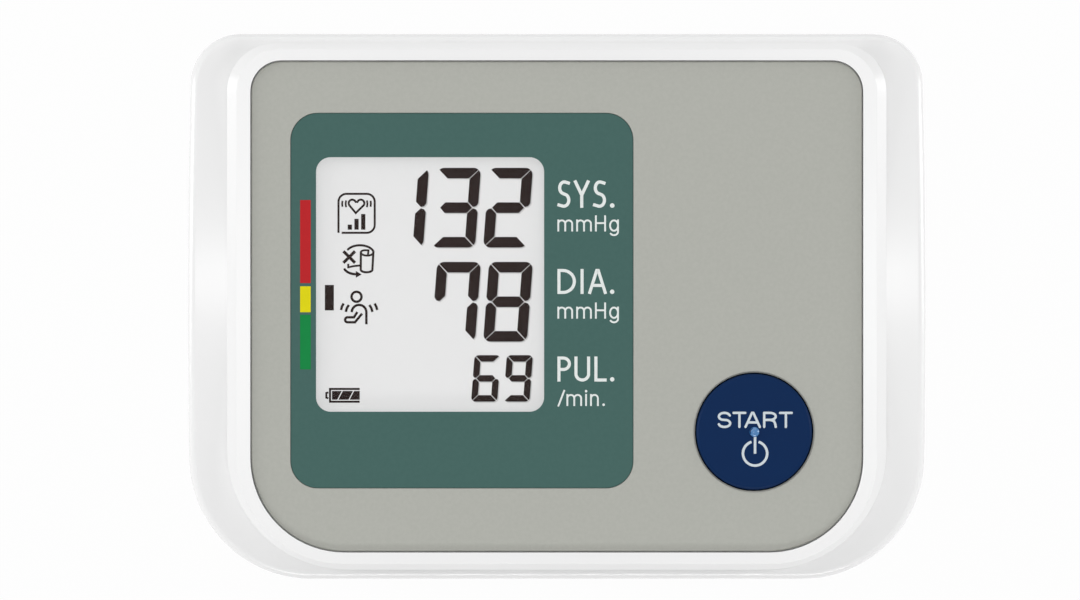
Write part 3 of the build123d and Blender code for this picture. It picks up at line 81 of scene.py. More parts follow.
def linear(hex_colour: str) -> tuple[float, float, float, float]:
    """Turns an sRGB colour into the linear values that a shader takes.

    Args:
        hex_colour: Six hexadecimal digits after a hash sign.

    Returns:
        Linear red, green, blue, and an alpha of one.
    """
    parts = np.array([int(hex_colour[i : i + 2], 16) for i in (1, 3, 5)]) / 255
    curved = np.where(parts <= 0.04045, parts / 12.92, ((parts + 0.055) / 1.055) ** 2.4)
    return (*curved.tolist(), 1.0)


def add_node(tree: Tree, kind: str, inputs: dict | None = None, **settings) -> bpy.types.Node:
    """Adds a node to a tree.

    Args:
        tree: The material's or world's node tree.
        kind: The node's Blender type.
        inputs: Socket name or number to a value, or to the output socket that feeds it.
        **settings: The node's own properties.

    Returns:
        The new node.
    """
    node = tree.nodes.new(kind)
    for name, value in settings.items():
        setattr(node, name, value)
    for name, value in (inputs or {}).items():
        if isinstance(value, Socket):
            tree.links.new(value, node.inputs[name])
        else:
            node.inputs[name].default_value = value
    return node


def add_mesh(name: str, points: np.ndarray, faces: list[list[int]],
             material: bpy.types.Material) -> bpy.types.Object:
    """Puts a mesh into the scene, as an object at the origin.

    Args:
        name: The object's name.
        points: Its vertices in metres, one row each.
        faces: The vertices of each face by number, anticlockwise as seen from outside.
        material: What it is made of.

    Returns:
        The new object.
    """
    mesh = bpy.data.meshes.new(name)
    mesh.from_pydata(points.tolist(), [], faces)
    mesh.materials.append(material)
    mesh.update()
    made = bpy.data.objects.new(name, mesh)
    bpy.context.scene.collection.objects.link(made)
    LOG.info("%s: %d faces", name, len(faces))
    return made


@dataclass(frozen=True)
class Finish:
    """A moulded, printed or plated surface with a fine grain and a little mottling.

    The grain is a bump from noise of about the grain's width. The mottling shifts the colour over a longer
    distance. Both are in millimetres on the object. The real grain of mouldings, paint and ink is too fine to
    show in the picture, so it is drawn as coarse as it needs to show.
    """

    name: str
    colour: str
    second_colour: str = ""
    roughness: float = 0.4
    metallic: float = 0.0
    specular: float = 0.5
    ior: float = 1.5
    coat: float = 0.0
    coat_roughness: float = 0.1
    transmission: float = 0.0
    alpha: float = 1.0
    glow: float = 0.0  # light given off, as a share of the colour
    sheen: float = 0.0
    grain: float = 0.5
    grain_depth: float = 0.004
    mottle: float = 12.0
    mottle_share: float = 0.5

    def colour_source(self, tree: Tree, place: Socket) -> Socket:
        """Mixes the two colours by smooth noise.

        Args:
            tree: The material's node tree.
            place: The point on the object.

        Returns:
            The colour socket.
        """
        cloud = add_node(tree, "ShaderNodeTexNoise",
                         {"Vector": place, "Scale": 1 / (self.mottle * MM), "Detail": 3.0})
        share = add_node(tree, "ShaderNodeMapRange", {
            "Value": cloud.outputs["Fac"], "From Min": NOISE_LOW, "From Max": NOISE_HIGH,
            "To Max": self.mottle_share})
        mix = add_node(tree, "ShaderNodeMix", {
            0: share.outputs[0], 6: linear(self.colour), 7: linear(self.second_colour or self.colour)},
            data_type="RGBA")
        return mix.outputs[2]

    def height_source(self, tree: Tree, place: Socket) -> Socket:
        """The noise that stands for the grain, from 0 to 1, as a socket."""
        grain = add_node(tree, "ShaderNodeTexNoise",
                         {"Vector": place, "Scale": 1 / (self.grain * MM), "Detail": 2.0})
        return grain.outputs["Fac"]

    def material(self) -> bpy.types.Material:
        """Builds the material, unless one is already built for this finish.

        Returns:
            The material.
        """
        made = bpy.data.materials.get(self.name)
        if made:
            return made
        made = bpy.data.materials.new(self.name)
        made.use_nodes = True
        tree = made.node_tree
        tree.nodes.clear()
        place = add_node(tree, "ShaderNodeTexCoord").outputs["Object"]
        bump = add_node(tree, "ShaderNodeBump", {
            "Height": self.height_source(tree, place), "Strength": 1.0, "Distance": self.grain_depth * MM})
        shader = add_node(tree, "ShaderNodeBsdfPrincipled", {
            "Base Color": self.colour_source(tree, place), "Roughness": self.roughness,
            "Metallic": self.metallic, "Specular IOR Level": self.specular, "IOR": self.ior,
            "Coat Weight": self.coat, "Coat Roughness": self.coat_roughness,
            "Transmission Weight": self.transmission, "Alpha": self.alpha, "Sheen Weight": self.sheen,
            "Emission Color": linear(self.colour), "Emission Strength": self.glow, "Normal": bump.outputs[0]})
        add_node(tree, "ShaderNodeOutputMaterial", {"Surface": shader.outputs[0]})
        return made


@dataclass(frozen=True)
class TurnedFinish(Finish):
    """Metal with fine rings round one axis, as turning or winding leaves them."""

    ring_axis: int = 1  # 0, 1 or 2 for the direction that the rings lie round

    def height_source(self, tree: Tree, place: Socket) -> Socket:
        """Squeezes noise along one axis, so that it makes rings round that axis.

        Args:
            tree: The material's node tree.
            place: The point on the object.

        Returns:
            The height socket.
        """
        squeeze = [RADIAL_CYCLES] * 3
        squeeze[self.ring_axis] = 1 / (self.grain * MM)
        stretched = add_node(tree, "ShaderNodeMapping", {"Vector": place, "Scale": squeeze})
        rings = add_node(tree, "ShaderNodeTexNoise",
                         {"Vector": stretched.outputs[0], "Scale": 1.0, "Detail": 2.0})
        return rings.outputs["Fac"]


@dataclass(frozen=True)
class CellWrap(Finish):
    """A cell's printed film: a dark sleeve with a copper band at one end, and bare steel at both tips."""

    first_end: float = 0.0  # where the cell begins on its length, in millimetres of the row frame
    last_end: float = 1.0  # where it ends, at the band
    band_length: float = 12.0
    bare_length: float = 1.0
    band_colour: str = "#B9733C"
    steel_colour: str = "#C9C9C6"

    def colour_source(self, tree: Tree, place: Socket) -> Socket:
        """Steps from steel to sleeve to band to steel along the cell.

        Args:
            tree: The material's node tree.
            place: The point on the object.

        Returns:
            The colour socket.
        """
        along = add_node(tree, "ShaderNodeSeparateXYZ", {0: place}).outputs["Y"]
        share = add_node(tree, "ShaderNodeMapRange", {
            "Value": along, "From Min": self.first_end * MM, "From Max": self.last_end * MM})
        ramp = add_node(tree, "ShaderNodeValToRGB", {0: share.outputs[0]})
        ramp.color_ramp.interpolation = "CONSTANT"
        length = abs(self.last_end - self.first_end)
        stops = [(0.0, self.steel_colour), (self.bare_length / length, self.colour),
                 (1 - (self.band_length + self.bare_length) / length, self.band_colour),
                 (1 - self.bare_length / length, self.steel_colour)]
        for number, (where, colour) in enumerate(stops):
            stop = ramp.color_ramp.elements[number] if number < 2 else ramp.color_ramp.elements.new(where)
            stop.position = where
            stop.color = linear(colour)
        return ramp.outputs[0]


# Moulded ABS, spark-eroded mould: soft satin white that shows broad gentle highlights on its curves.
WHITE_ABS = Finish("moulded_abs_white", "#EAEAEA", "#E8E8E8", roughness=0.19, grain=0.45, grain_depth=0.0015,
                   mottle=30.0)
# Painted ABS: a warm grey coat with fine speckle, quite matt.
GREY_PAINT = Finish("painted_abs_grey", "#AEAFA8", "#ABACA5", roughness=0.65, specular=0.15, grain=0.35,
                    grain_depth=0.012, mottle=0.7, mottle_share=1.0)
# Reverse-printed polycarbonate film: deep green, even, low gloss.
GREEN_FILM = Finish("printed_polycarbonate_green", "#42625D", "#40605B", roughness=0.55, specular=0.15,
                    grain=0.3, grain_depth=0.006, mottle=0.8, mottle_share=1.0)
# Cast acrylic: clear, polished, so that only faint reflections give it away.
CLEAR_ACRYLIC = Finish("clear_acrylic", "#FFFFFF", roughness=0.0, ior=1.49, transmission=1.0, alpha=0.1,
                       grain=20.0, grain_depth=0.0)
# Display glass over its polariser: pale neutral grey and smooth. Its glow of one and a half times its colour
# is painted light, which evens out the shade that the window's recess throws on its edges.
GLOWING_DISPLAY_GLASS = Finish("display_glass_painted_glow", "#979797", "#959595", roughness=0.3, specular=0.15,
                       glow=1.5, grain=5.0, grain_depth=0.0, mottle=25.0)
# Metallised polyester film: pale silver, half mirror, half matt.
REFLECTOR_FILM = Finish("reflector_film", "#DADBDA", "#D2D3D2", roughness=0.35, metallic=0.3, grain=0.4)
# Uncoloured moulded ABS: creamy off-white without gloss.
HOLDER_ABS = Finish("moulded_abs_natural", "#D9D8D0", "#D3D2CA", roughness=0.45, grain=0.6)
# Moulded nylon: near black, with a dull even sheen.
BLACK_NYLON = Finish("moulded_nylon_black", "#1D1E20", "#232427", roughness=0.5, grain=0.5)
# Moulded silicone: soft mid grey that looks dusty at its edges.
GREY_RUBBER = Finish("moulded_silicone_grey", "#8E908F", "#868887", roughness=0.7, sheen=0.2, grain=0.7,
                     grain_depth=0.01)
# Solder mask on glass fibre: glossy dark green lacquer with faint darker specks.
SOLDER_MASK = Finish("solder_mask_green", "#12552F", "#0E4426", roughness=0.3, coat=0.4, grain=1.2,
                     mottle=1.6, mottle_share=1.0)
# Drawn and nickel-plated steel: cool bright metal with faint rings.
PLATED_STEEL = TurnedFinish("plated_steel_drawn", "#B9BABB", "#A9AAAC", roughness=0.3, metallic=1.0,
                            grain=0.25, grain_depth=0.002, mottle=5.0)
# Heat-shrunk sleeve: tight, dark, slightly glossy skin.
SLEEVE_FILM = Finish("shrunk_sleeve_film", "#23242C", "#1E1F27", roughness=0.35, grain=1.0)
# Enamelled copper wire, wound: orange brown metal whose turns show as fine rings.
COPPER_WIRE = TurnedFinish("enamelled_copper", "#B4602E", "#9C4F25", roughness=0.35, metallic=1.0, grain=0.3,
                           grain_depth=0.02, ring_axis=2)
# Extruded PVC: plain red insulation with a soft shine.
LEAD_SHEATH = Finish("pvc_sheath_red", "#A3262A", "#941F24", roughness=0.45, grain=0.6)
# Moulded ABS in navy: deep even colour with next to no gloss.
BUTTON_BLUE = Finish("moulded_abs_navy", "#0A274F", "#0B264D", roughness=0.4, specular=0.06, grain=0.4,
                     grain_depth=0.002, mottle=6.0)
# Moulded rubber: matt mid grey that grips the table.
FOOT_RUBBER = Finish("moulded_rubber_grey", "#8C8D8E", "#828384", roughness=0.85, sheen=0.3, grain=0.5,
                     grain_depth=0.02)
# Screen-printed inks: slightly raised, flat and opaque.
WHITE_INK = Finish("screen_ink_white", "#E0E5E3", "#DAE0DE", roughness=0.6, specular=0.2, grain=0.2,
                   mottle=1.5)
PALE_INK = replace(WHITE_INK, name="screen_ink_pale", colour="#CAD3D8", second_colour="#C3CDD3")
RED_INK = replace(WHITE_INK, name="screen_ink_red", colour="#B41B21", second_colour="#AF1A20")
YELLOW_INK = replace(WHITE_INK, name="screen_ink_yellow", colour="#D9D000", second_colour="#D2CA02")
GREEN_INK = replace(WHITE_INK, name="screen_ink_green", colour="#007F3C", second_colour="#017A3B")
# Clear blue acrylic, moulded: domed and very glossy.
DOT_BLUE = Finish("moulded_clear_blue", "#2871AC", "#256CA6", roughness=0.12, coat=1.0, coat_roughness=0.05,
                  grain=0.4, grain_depth=0.0)
# Liquid crystal that is switched on: warm near-black without gloss.
SEGMENT_DARK = Finish("liquid_crystal_dark", "#251A18", "#231816", roughness=0.6, specular=0.1, grain=0.3,
                      mottle=2.0)
# Painted shadow: grey slabs with a faint glow, offset to the lower right of each reading, that stand for the
# shadow the liquid crystal casts on the film behind it.
PAINTED_SEGMENT_SHADOW = Finish("painted_liquid_crystal_shadow", "#A3A3A3", "#A1A1A1", roughness=0.6, specular=0.05, glow=0.5,
                        grain=0.3, mottle=2.0)


@dataclass(frozen=True)
class Face:
    """The sloping face of the housing, as a frame to draw on."""

    tilt: float = math.radians(14.0)
    centre: Place = (0.0, -2.5356, 48.2305)

    @property
    def axes(self) -> np.ndarray:
        """The rows are the directions of u, v and lift in the row frame."""
        slope, rise = math.cos(self.tilt), math.sin(self.tilt)
        return np.array([[1.0, 0.0, 0.0], [0.0, slope, rise], [0.0, -rise, slope]])

    def place(self, points: np.ndarray) -> np.ndarray:
        """Carries face points to the row frame: centre plus u, v and lift along their directions.

        Args:
            points: An array whose last axis holds u, v and lift in millimetres.

        Returns:
            The same points in metres in the row frame.
        """
        return (np.array(self.centre) + points @ self.axes) * MM


FACE = Face()


class Ends(Enum):
    """How a drawn stroke ends."""

    ROUND = "round"
    SQUARE = "square"
    FLAT = "flat"


def arc(centre: Point, radii: Point, start: float, end: float) -> np.ndarray:
    """Points along an ellipse: the centre plus the radii times the cosine and sine of an even run of angles.

    Args:
        centre: The ellipse's middle.
        radii: Its half width and half height.
        start: First angle in degrees, anticlockwise from the right.
        end: Last angle.

    Returns:
        The points, one row each.
    """
    count = max(3, round(abs(end - start) / ARC_STEP) + 1)
    angle = np.radians(np.linspace(start, end, count))
    return np.array(centre) + np.stack([np.cos(angle), np.sin(angle)], axis=1) * np.array(radii)


def line(*points: Point) -> np.ndarray:
    """Straight runs through the points, one row each."""
    return np.array(points, float)


def chain(*runs: np.ndarray) -> np.ndarray:
    """One path from several runs of points, end to end."""
    return np.concatenate(runs)


def box(left: float, bottom: float, right: float, top: float) -> np.ndarray:
    """The corners of an upright rectangle, anticlockwise."""
    return line((left, bottom), (right, bottom), (right, top), (left, top))


@dataclass
class Slabs:
    """Thin closed slabs on the face, gathered into one mesh.

    Each slab ends a hair above the one before, so that no two tops lie in one plane where strokes cross.
    """

    surface: float  # lift of what carries the slabs
    film: float  # how far the first slab stands out
    step: float = 0.0015  # how much further each slab stands out than the one before
    end_steps: int = 5  # points along a round end
    thinnest: float = 0.02  # a round end's width at its tip, as a share of the line's
    sharpest: float = 0.4  # least cosine of half a turn, so that a sharp corner's mitre stays short
    vertices: list[np.ndarray] = field(default_factory=list)
    faces: list[list[int]] = field(default_factory=list)

    def _keep(self, outlines: list[np.ndarray], faces: list[list[int]]) -> None:
        """Adds the slab's vertices and the faces between them.

        Args:
            outlines: Arrays of u, v and lift.
            faces: Faces by number of vertex within this slab.
        """
        before = sum(len(block) for block in self.vertices)
        self.faces.extend([[number + before for number in face] for face in faces])
        self.vertices.append(np.concatenate(outlines))

    @property
    def low(self) -> float:
        """The level of every slab's underside."""
        return self.surface - SINK

    @property
    def high(self) -> float:
        """The level of the next slab's top."""
        return self.surface + self.film + self.step * len(self.vertices)

    def stroke(self, path: np.ndarray, width: float, ends: Ends = Ends.ROUND) -> None:
        """Draws a line of some width along a path.

        The slab is a grid: the path's points by the four corners of its section. A corner lies half a width
        to one side of the path, square to the mean heading of the two runs that meet there, and lengthened by
        one over the cosine of half their turn. A round end goes on past the last point while its width falls
        as a circle's.

        Args:
            path: Points of the path, one row each. A path that ends where it starts is closed.
            width: The line's width in millimetres.
            ends: How an open line ends.
        """
        closed = np.allclose(path[0], path[-1])
        points = path[:-1] if closed else path
        half = np.full(len(points), width / 2)
        first = points[0] - points[1]
        last = points[-1] - points[-2]
        first, last = first / np.linalg.norm(first), last / np.linalg.norm(last)
        if not closed and ends is Ends.SQUARE:
            points = chain(points[:1] + first * width / 2, points[1:-1], points[-1:] + last * width / 2)
        if not closed and ends is Ends.ROUND:
            turn = np.radians(np.linspace(90, 0, self.end_steps + 1)[:-1])
            reach = (np.sin(turn) * width / 2)[:, None]
            taper = np.maximum(np.cos(turn), self.thinnest) * width / 2
            points = chain(points[0] + first * reach, points, points[-1] + last * reach[::-1])
            half = chain(taper, half, taper[::-1])
        before = np.roll(points, 1, axis=0)
        after = np.roll(points, -1, axis=0)
        if not closed:
            before[0] = 2 * points[0] - points[1]
            after[-1] = 2 * points[-1] - points[-2]
        run_in = (points - before) / np.linalg.norm(points - before, axis=1, keepdims=True)
        run_out = (after - points) / np.linalg.norm(after - points, axis=1, keepdims=True)
        heading = run_in + run_out
        heading /= np.maximum(np.linalg.norm(heading, axis=1, keepdims=True), 1e-9)
        side = np.stack([-heading[:, 1], heading[:, 0]], axis=1)
        stretch = 1 / np.maximum((heading * run_in).sum(axis=1), self.sharpest)
        offset = side * (half * stretch)[:, None]
        left, right = points + offset, points - offset
        section = [(left, self.low), (left, self.high), (right, self.high), (right, self.low)]
        rows = len(points)
        steps = rows if closed else rows - 1
        grid = np.stack([np.column_stack([edge, np.full(rows, lift)]) for edge, lift in section], axis=1)
        row, corner = np.meshgrid(np.arange(steps), np.arange(4), indexing="ij")
        next_row, next_corner = (row + 1) % rows, (corner + 1) % 4
        quads = np.stack([row * 4 + corner, next_row * 4 + corner, next_row * 4 + next_corner,
                          row * 4 + next_corner], axis=-1).reshape(-1, 4).tolist()
        if not closed:
            quads.append([0, 1, 2, 3])
            quads.append([4 * rows - 1, 4 * rows - 2, 4 * rows - 3, 4 * rows - 4])
        self._keep([grid.reshape(-1, 3)], quads)

    def plate(self, outline: np.ndarray) -> None:
        """Adds a flat plate: its outline at the low and at the high level, joined by a wall.

        Args:
            outline: Points round the plate, anticlockwise, one row each.
        """
        size = len(outline)
        levels = [np.column_stack([outline, np.full(size, lift)]) for lift in (self.low, self.high)]
        ring = np.arange(size)
        onward = (ring + 1) % size
        walls = np.stack([ring, onward, onward + size, ring + size], axis=-1).tolist()
        self._keep(levels, [*walls, ring[::-1].tolist(), (ring + size).tolist()])

    def disc(self, centre: Point, radius: float) -> None:
        """Adds a round plate."""
        self.plate(arc(centre, (radius, radius), 0, 360)[:-1])

    def piece(self, name: str, finish: Finish, body: str) -> None:
        """Makes the gathered slabs one object.

        Args:
            name: The object's name.
            finish: Its finish.
            body: The CAD body that carries it.
        """
        made = add_mesh(name, FACE.place(np.concatenate(self.vertices)), self.faces, finish.material())
        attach(made, body)


def letter(sign: str) -> tuple[float, list[np.ndarray]]:
    """Gives a plain letter as centre lines, for a capital height of one.

    Each letter is straight runs and arcs of an ellipse, on a baseline at zero. The small s stands for the
    rounder capital S of the button's word.

    Args:
        sign: The letter.

    Returns:
        The letter's width and its lines.
    """
    low = 0.71  # height of a small letter without an ascender
    bowl = 0.24  # height of a small letter's arch
    small = 0.435  # width of that arch

    def arch(left: float) -> np.ndarray:
        """One arch of a small m or n."""
        return chain(arc((left + small / 2, low - bowl), (small / 2, bowl), 165, 0), line((left + small, 0)))

    shapes = {
        "S": (0.44, [chain(line((0.42, 0.955)), arc((0.24, 0.755), (0.21, 0.245), 75, 240),
                           arc((0.21, 0.25), (0.23, 0.25), 60, -100), line((0.0, 0.05)))]),
        "s": (0.5, [chain(arc((0.25, 0.745), (0.24, 0.255), 15, 245),
                          arc((0.25, 0.255), (0.25, 0.255), 65, -165))]),
        "Y": (0.56, [line((0, 1), (0.28, 0.46), (0.56, 1)), line((0.28, 0.46), (0.28, 0))]),
        "D": (0.62, [chain(line((0, 0), (0, 1), (0.16, 1)), arc((0.16, 0.5), (0.46, 0.5), 80, -80),
                           line((0.16, 0), (0, 0)))]),
        "I": (0.06, [line((0, 0), (0, 1))]),
        "A": (0.62, [line((0, 0), (0.28, 1), (0.34, 1), (0.62, 0)), line((0.11, 0.32), (0.51, 0.32))]),
        "P": (0.43, [line((0, 0), (0, 1)),
                     chain(line((0, 1), (0.18, 1)), arc((0.18, 0.74), (0.25, 0.26), 80, -80),
                           line((0.18, 0.48), (0, 0.48)))]),
        "R": (0.5, [line((0, 0), (0, 1)),
                    chain(line((0, 1), (0.25, 1)), arc((0.25, 0.75), (0.25, 0.25), 80, -80),
                          line((0.25, 0.5), (0, 0.5))),
                    line((0.27, 0.5), (0.42, 0.42), (0.47, 0.25), (0.5, 0))]),
        "T": (0.5, [line((0, 1), (0.5, 1)), line((0.25, 1), (0.25, 0))]),
        "U": (0.58, [chain(line((0, 1)), arc((0.26, 0.28), (0.26, 0.28), 180, 360), line((0.52, 1)))]),
        "L": (0.38, [line((0, 1), (0, 0), (0.38, 0))]),
        "H": (0.58, [line((0, 0), (0, 1)), line((0.58, 0), (0.58, 1)), line((0, 0.52), (0.58, 0.52))]),
        "m": (2 * small, [line((0, 0), (0, low)), arch(0), arch(small)]),
        "n": (small, [line((0, 0), (0, low)), arch(0)]),
        "g": (0.5, [arc((0.25, 0.35), (0.25, 0.36), 0, 360),
                    chain(line((0.5, low)), arc((0.25, -0.08), (0.25, 0.24), 0, -145))]),
        "i": (0.0, [line((0, 0), (0, low))]),
        "/": (0.25, [line((0, -0.04), (0.36, 1))]),
        ".": (0.1, []),
    }
    return shapes[sign]


@dataclass(frozen=True)
class Label:
    """A printed word: its letters stretched sideways so that it runs from left to right exactly.

    The capital is the height of a capital letter and the weight is the width of a stroke. Spacing is the gap
    between letters, as a share of that height before the stretch, and kerning maps a pair of letters to what
    their gap differs from it.
    """

    text: str
    left: float
    right: float
    baseline: float
    capital: float
    weight: float
    ends: Ends = Ends.SQUARE
    spacing: float = 0.31
    kerning: dict[str, float] = field(default_factory=dict)
    dot_share: float = 0.72  # a dot's radius as a share of the weight

    def draw(self, slabs: Slabs) -> None:
        """Adds the word's strokes. Each centre line keeps half a stroke inside the word's box.

        Args:
            slabs: What the strokes are added to.
        """
        shapes = [letter(sign) for sign in self.text]
        dot = self.weight * self.dot_share
        pairs = [self.text[place : place + 2] for place in range(len(shapes))]
        gaps = [self.spacing + self.kerning.get(pair, 0) for pair in pairs]
        natural = sum(width for width, _ in shapes) + sum(gaps[:-1])
        across = (self.right - self.left - self.weight) / natural
        stretch = np.array([across, self.capital - self.weight])
        pen = self.left + self.weight / 2
        foot = self.baseline + self.weight / 2
        for sign, (width, lines), gap in zip(self.text, shapes, gaps):
            for path in lines:
                slabs.stroke(np.array([pen, foot]) + path * stretch, self.weight, self.ends)
            if sign == ".":
                slabs.disc((pen + width / 2 * across, self.baseline + dot), dot)
            if sign == "i":
                slabs.disc((pen, self.baseline + self.capital - dot), dot)
            pen += (width + gap) * across


@dataclass
class FacePrint:
    """Words and pressure colours screen-printed on the green surround."""

    surface: float = -0.9  # lift of the surround
    ink: float = 0.03  # thickness of the ink
    word: Label = Label("", left=0.12, right=10.99, baseline=0.0, capital=4.73, weight=0.58)
    unit: Label = Label("mmHg", left=0.12, right=11.74, baseline=0.0, capital=3.05, weight=0.34)
    bar_left: float = -48.5
    bar_right: float = -46.5
    red_bar: Point = (4.4, 20.1)  # foot and top
    yellow_bar: Point = (-1.1, 3.8)
    green_bar: Point = (-11.9, -1.6)

    def labels(self) -> dict[str, Label]:
        """The three words with their units, by name of piece."""
        word, unit = self.word, self.unit
        return {
            "label_systolic": replace(word, text="SYS.", baseline=18.63, capital=5.19, weight=0.6,
                                      spacing=0.3),
            "label_systolic_unit": replace(unit, baseline=14.16),
            "label_diastolic": replace(word, text="DIA.", baseline=2.35, kerning={"IA": -0.06, "A.": -0.08}),
            "label_diastolic_unit": replace(unit, baseline=-2.31),
            "label_pulse": replace(word, text="PUL.", baseline=-14.2, spacing=0.24, kerning={"PU": 0.03}),
            "label_pulse_unit": replace(unit, text="/min.", left=0.15, right=9.17, baseline=-18.82),
        }

    def build(self) -> None:
        """Makes one piece for each word and each colour bar."""
        for name, label in self.labels().items():
            slabs = Slabs(self.surface, self.ink)
            label.draw(slabs)
            slabs.piece(name, WHITE_INK, "housing")
        bars = {"pressure_bar_red": (self.red_bar, RED_INK),
                "pressure_bar_yellow": (self.yellow_bar, YELLOW_INK),
                "pressure_bar_green": (self.green_bar, GREEN_INK)}
        for name, ((foot, top), finish) in bars.items():
            slabs = Slabs(self.surface, self.ink)
            slabs.plate(box(self.bar_left, foot, self.bar_right, top))
            slabs.piece(name, finish, "housing")


# The segments of each figure in use: a at the top, then clockwise to f, with g in the middle.
SEGMENTS = {"1": "bc", "2": "abged", "3": "abgcd", "6": "afgecd", "7": "fabc", "8": "abcdefg", "9": "abcdfg"}


@dataclass(frozen=True)
class Digits:
    """A row of leaning seven-segment figures, placed by its top right corner."""

    text: str
    right: float
    top: float
    height: float
    width: float
    pitch: float
    thickness: float
    gap: float = 0.17  # between neighbouring segments
    lean: float = math.tan(math.radians(4.3))  # shift to the right as a share of the height
    corner: float = 0.7  # radius of the outer corners, as a share of the thickness

    def outlines(self) -> dict[str, np.ndarray]:
        """Works out the seven outlines in an upright box from (0, 0) to (width, height).

        Neighbouring segments meet along 45 degree cuts through the box's corners, each kept half a gap away.
        The outer corners follow a circle, and the ends at the middle are blunt arrow heads.

        Returns:
            Segment letter to its outline, anticlockwise.
        """
        w, h, t = self.width, self.height, self.thickness
        cut = self.gap / 2 * math.sqrt(2)
        radius = self.corner * t
        mid = h / 2
        share = 45 - math.degrees(cut / 2 / radius)
        top_left = arc((radius, h - radius), (radius, radius), 90 + share, 90)
        side_top = arc((radius, h - radius), (radius, radius), 180, 180 - share)
        mirror = np.array([-1.0, 1.0])
        across = np.array([w, 0.0])
        top = chain(line((t + cut, h - t), (w - t - cut, h - t)), top_left * mirror + across, top_left[::-1])
        arrow_head = line((0, mid + 0.42 * t), (0.2 * t, mid + 0.14 * t), (0.5 * t, mid + cut),
                          (t, mid + t / 2 + cut))
        upper_left = chain(line((t, h - t - cut)), side_top[::-1], arrow_head)
        near, far = t + 0.4 * cut, w - t - 0.4 * cut
        middle = line((t / 2 + cut, mid), (near, mid - t / 2), (far, mid - t / 2), (w - t / 2 - cut, mid),
                      (far, mid + t / 2), (near, mid + t / 2))
        flip = np.array([1.0, -1.0])
        up = np.array([0.0, h])
        upper_right = (upper_left * mirror + across)[::-1]
        return {"a": top, "f": upper_left, "b": upper_right, "g": middle, "d": (top * flip + up)[::-1],
                "e": (upper_left * flip + up)[::-1], "c": (upper_right * flip + up)[::-1]}

    def draw(self, slabs: Slabs) -> None:
        """Adds a plate for each segment that is on. A point leans to the right by a share of its height.

        Args:
            slabs: What the plates are added to.
        """
        shapes = self.outlines()
        for place, sign in enumerate(reversed(self.text)):
            left = self.right - place * self.pitch - self.width - self.lean * self.height
            for segment in SEGMENTS[sign]:
                shape = shapes[segment]
                leaning = shape + np.column_stack([shape[:, 1] * self.lean, np.zeros(len(shape))])
                slabs.plate(leaning + np.array([left, self.top - self.height]))


@dataclass(frozen=True)
class Stroke:
    """One line of a pictogram: its path, its width as a share of a plain line's, and how it ends."""

    path: np.ndarray
    share: float = 1.0
    ends: Ends = Ends.FLAT


@dataclass(frozen=True)
class Sign:
    """A pictogram: its lines, and then its solid shapes by their outlines."""

    strokes: tuple[Stroke, ...] = ()
    shapes: tuple[np.ndarray, ...] = ()

    def draw(self, slabs: Slabs, fine: float) -> None:
        """Adds the pictogram.

        Args:
            slabs: What its lines and shapes are added to.
            fine: The width of a plain line.
        """
        for stroke in self.strokes:
            slabs.stroke(stroke.path, fine * stroke.share, stroke.ends)
        for outline in self.shapes:
            slabs.plate(outline)


def pulse_sign() -> Sign:
    """The uneven pulse sign: a heart with ripples over three rising bars, in a frame open at its lower left.

    Returns:
        The sign.
    """
    left, right, bottom, top, bend, opening = -41.27, -34.42, 13.91, 21.28, 1.5, 0.6
    corner = (bend, bend)
    frame = chain(line((left, bottom)), arc((left + bend, top - bend), corner, 180, 90),
                  arc((right - bend, top - bend), corner, 90, 0),
                  arc((right - bend, bottom + bend), corner, 0, -90), line((left + opening, bottom)))
    u, v, lobe, reach = -37.86, 19.5, 0.68, 0.8
    heart = chain(arc((u - reach, v), (lobe, lobe), 20, 212), line((u - 0.15, v - 1.85)),
                  arc((u + reach, v), (lobe, lobe), -32, 160))
    ripples = [Stroke(arc((u, v - 0.1), (radius, radius), middle - spread, middle + spread), 0.75)
               for middle in (180, 0) for radius, spread in ((2.05, 18), (2.72, 12))]
    first, foot, width, pitch = -39.53, 14.51, 0.8, 1.27
    bars = [box(first + pitch * number, foot, first + pitch * number + width, foot + height)
            for number, height in enumerate((0.95, 2.05, 2.95))]
    return Sign((Stroke(frame, 0.85), Stroke(heart, 0.85, Ends.ROUND), *ripples), tuple(bars))


def cuff_sign() -> Sign:
    """The cuff sign: a rolled cuff with its strap, a cross, and an arrow round it.

    Returns:
        The sign.
    """
    left, right, top, bottom = -37.04, -34.68, 10.22, 6.95
    middle = (left + right) / 2
    roll = chain(line((left, top)), arc((middle - 0.1, bottom), (1.1, 0.5), 180, 360), line((right, top)))
    mouth = arc((middle, top), (1.18, 0.62), 180, 352)
    inner_turn = chain(arc((middle - 0.35, top), (0.83, 0.4), 180, 85), line((-35.6, 10.6), (-35.7, 9.8)))
    bow = arc((-37.2, 9.98), (2.62, 1.58), 150, 12)
    u, v, arm = -39.24, 9.33, 1.1
    rising = line((u - arm, v - arm), (u + arm, v + arm))
    falling = line((u - arm, v + arm), (u + arm, v - arm))
    strap_end = line((-39.43, 8.05), (-39.43, 7.2))
    strap = line((-39.43, 7.38), (-38.4, 7.62), (left - 0.05, 7.74))
    arrow = arc((-37.9, 7.6), (2.4, 1.52), 203, 264)
    arrow_head = line((-38.0, 6.7), (-38.0, 5.41), (-36.91, 6.05))
    return Sign((Stroke(roll, 0.9, Ends.ROUND), Stroke(mouth, 0.8, Ends.ROUND),
                 Stroke(inner_turn, 0.8, Ends.ROUND), Stroke(bow, 0.9, Ends.ROUND), Stroke(rising, 1.25),
                 Stroke(falling, 1.25), Stroke(strap_end, 0.8), Stroke(strap, 0.8),
                 Stroke(arrow, 1.0, Ends.ROUND)), (arrow_head,))


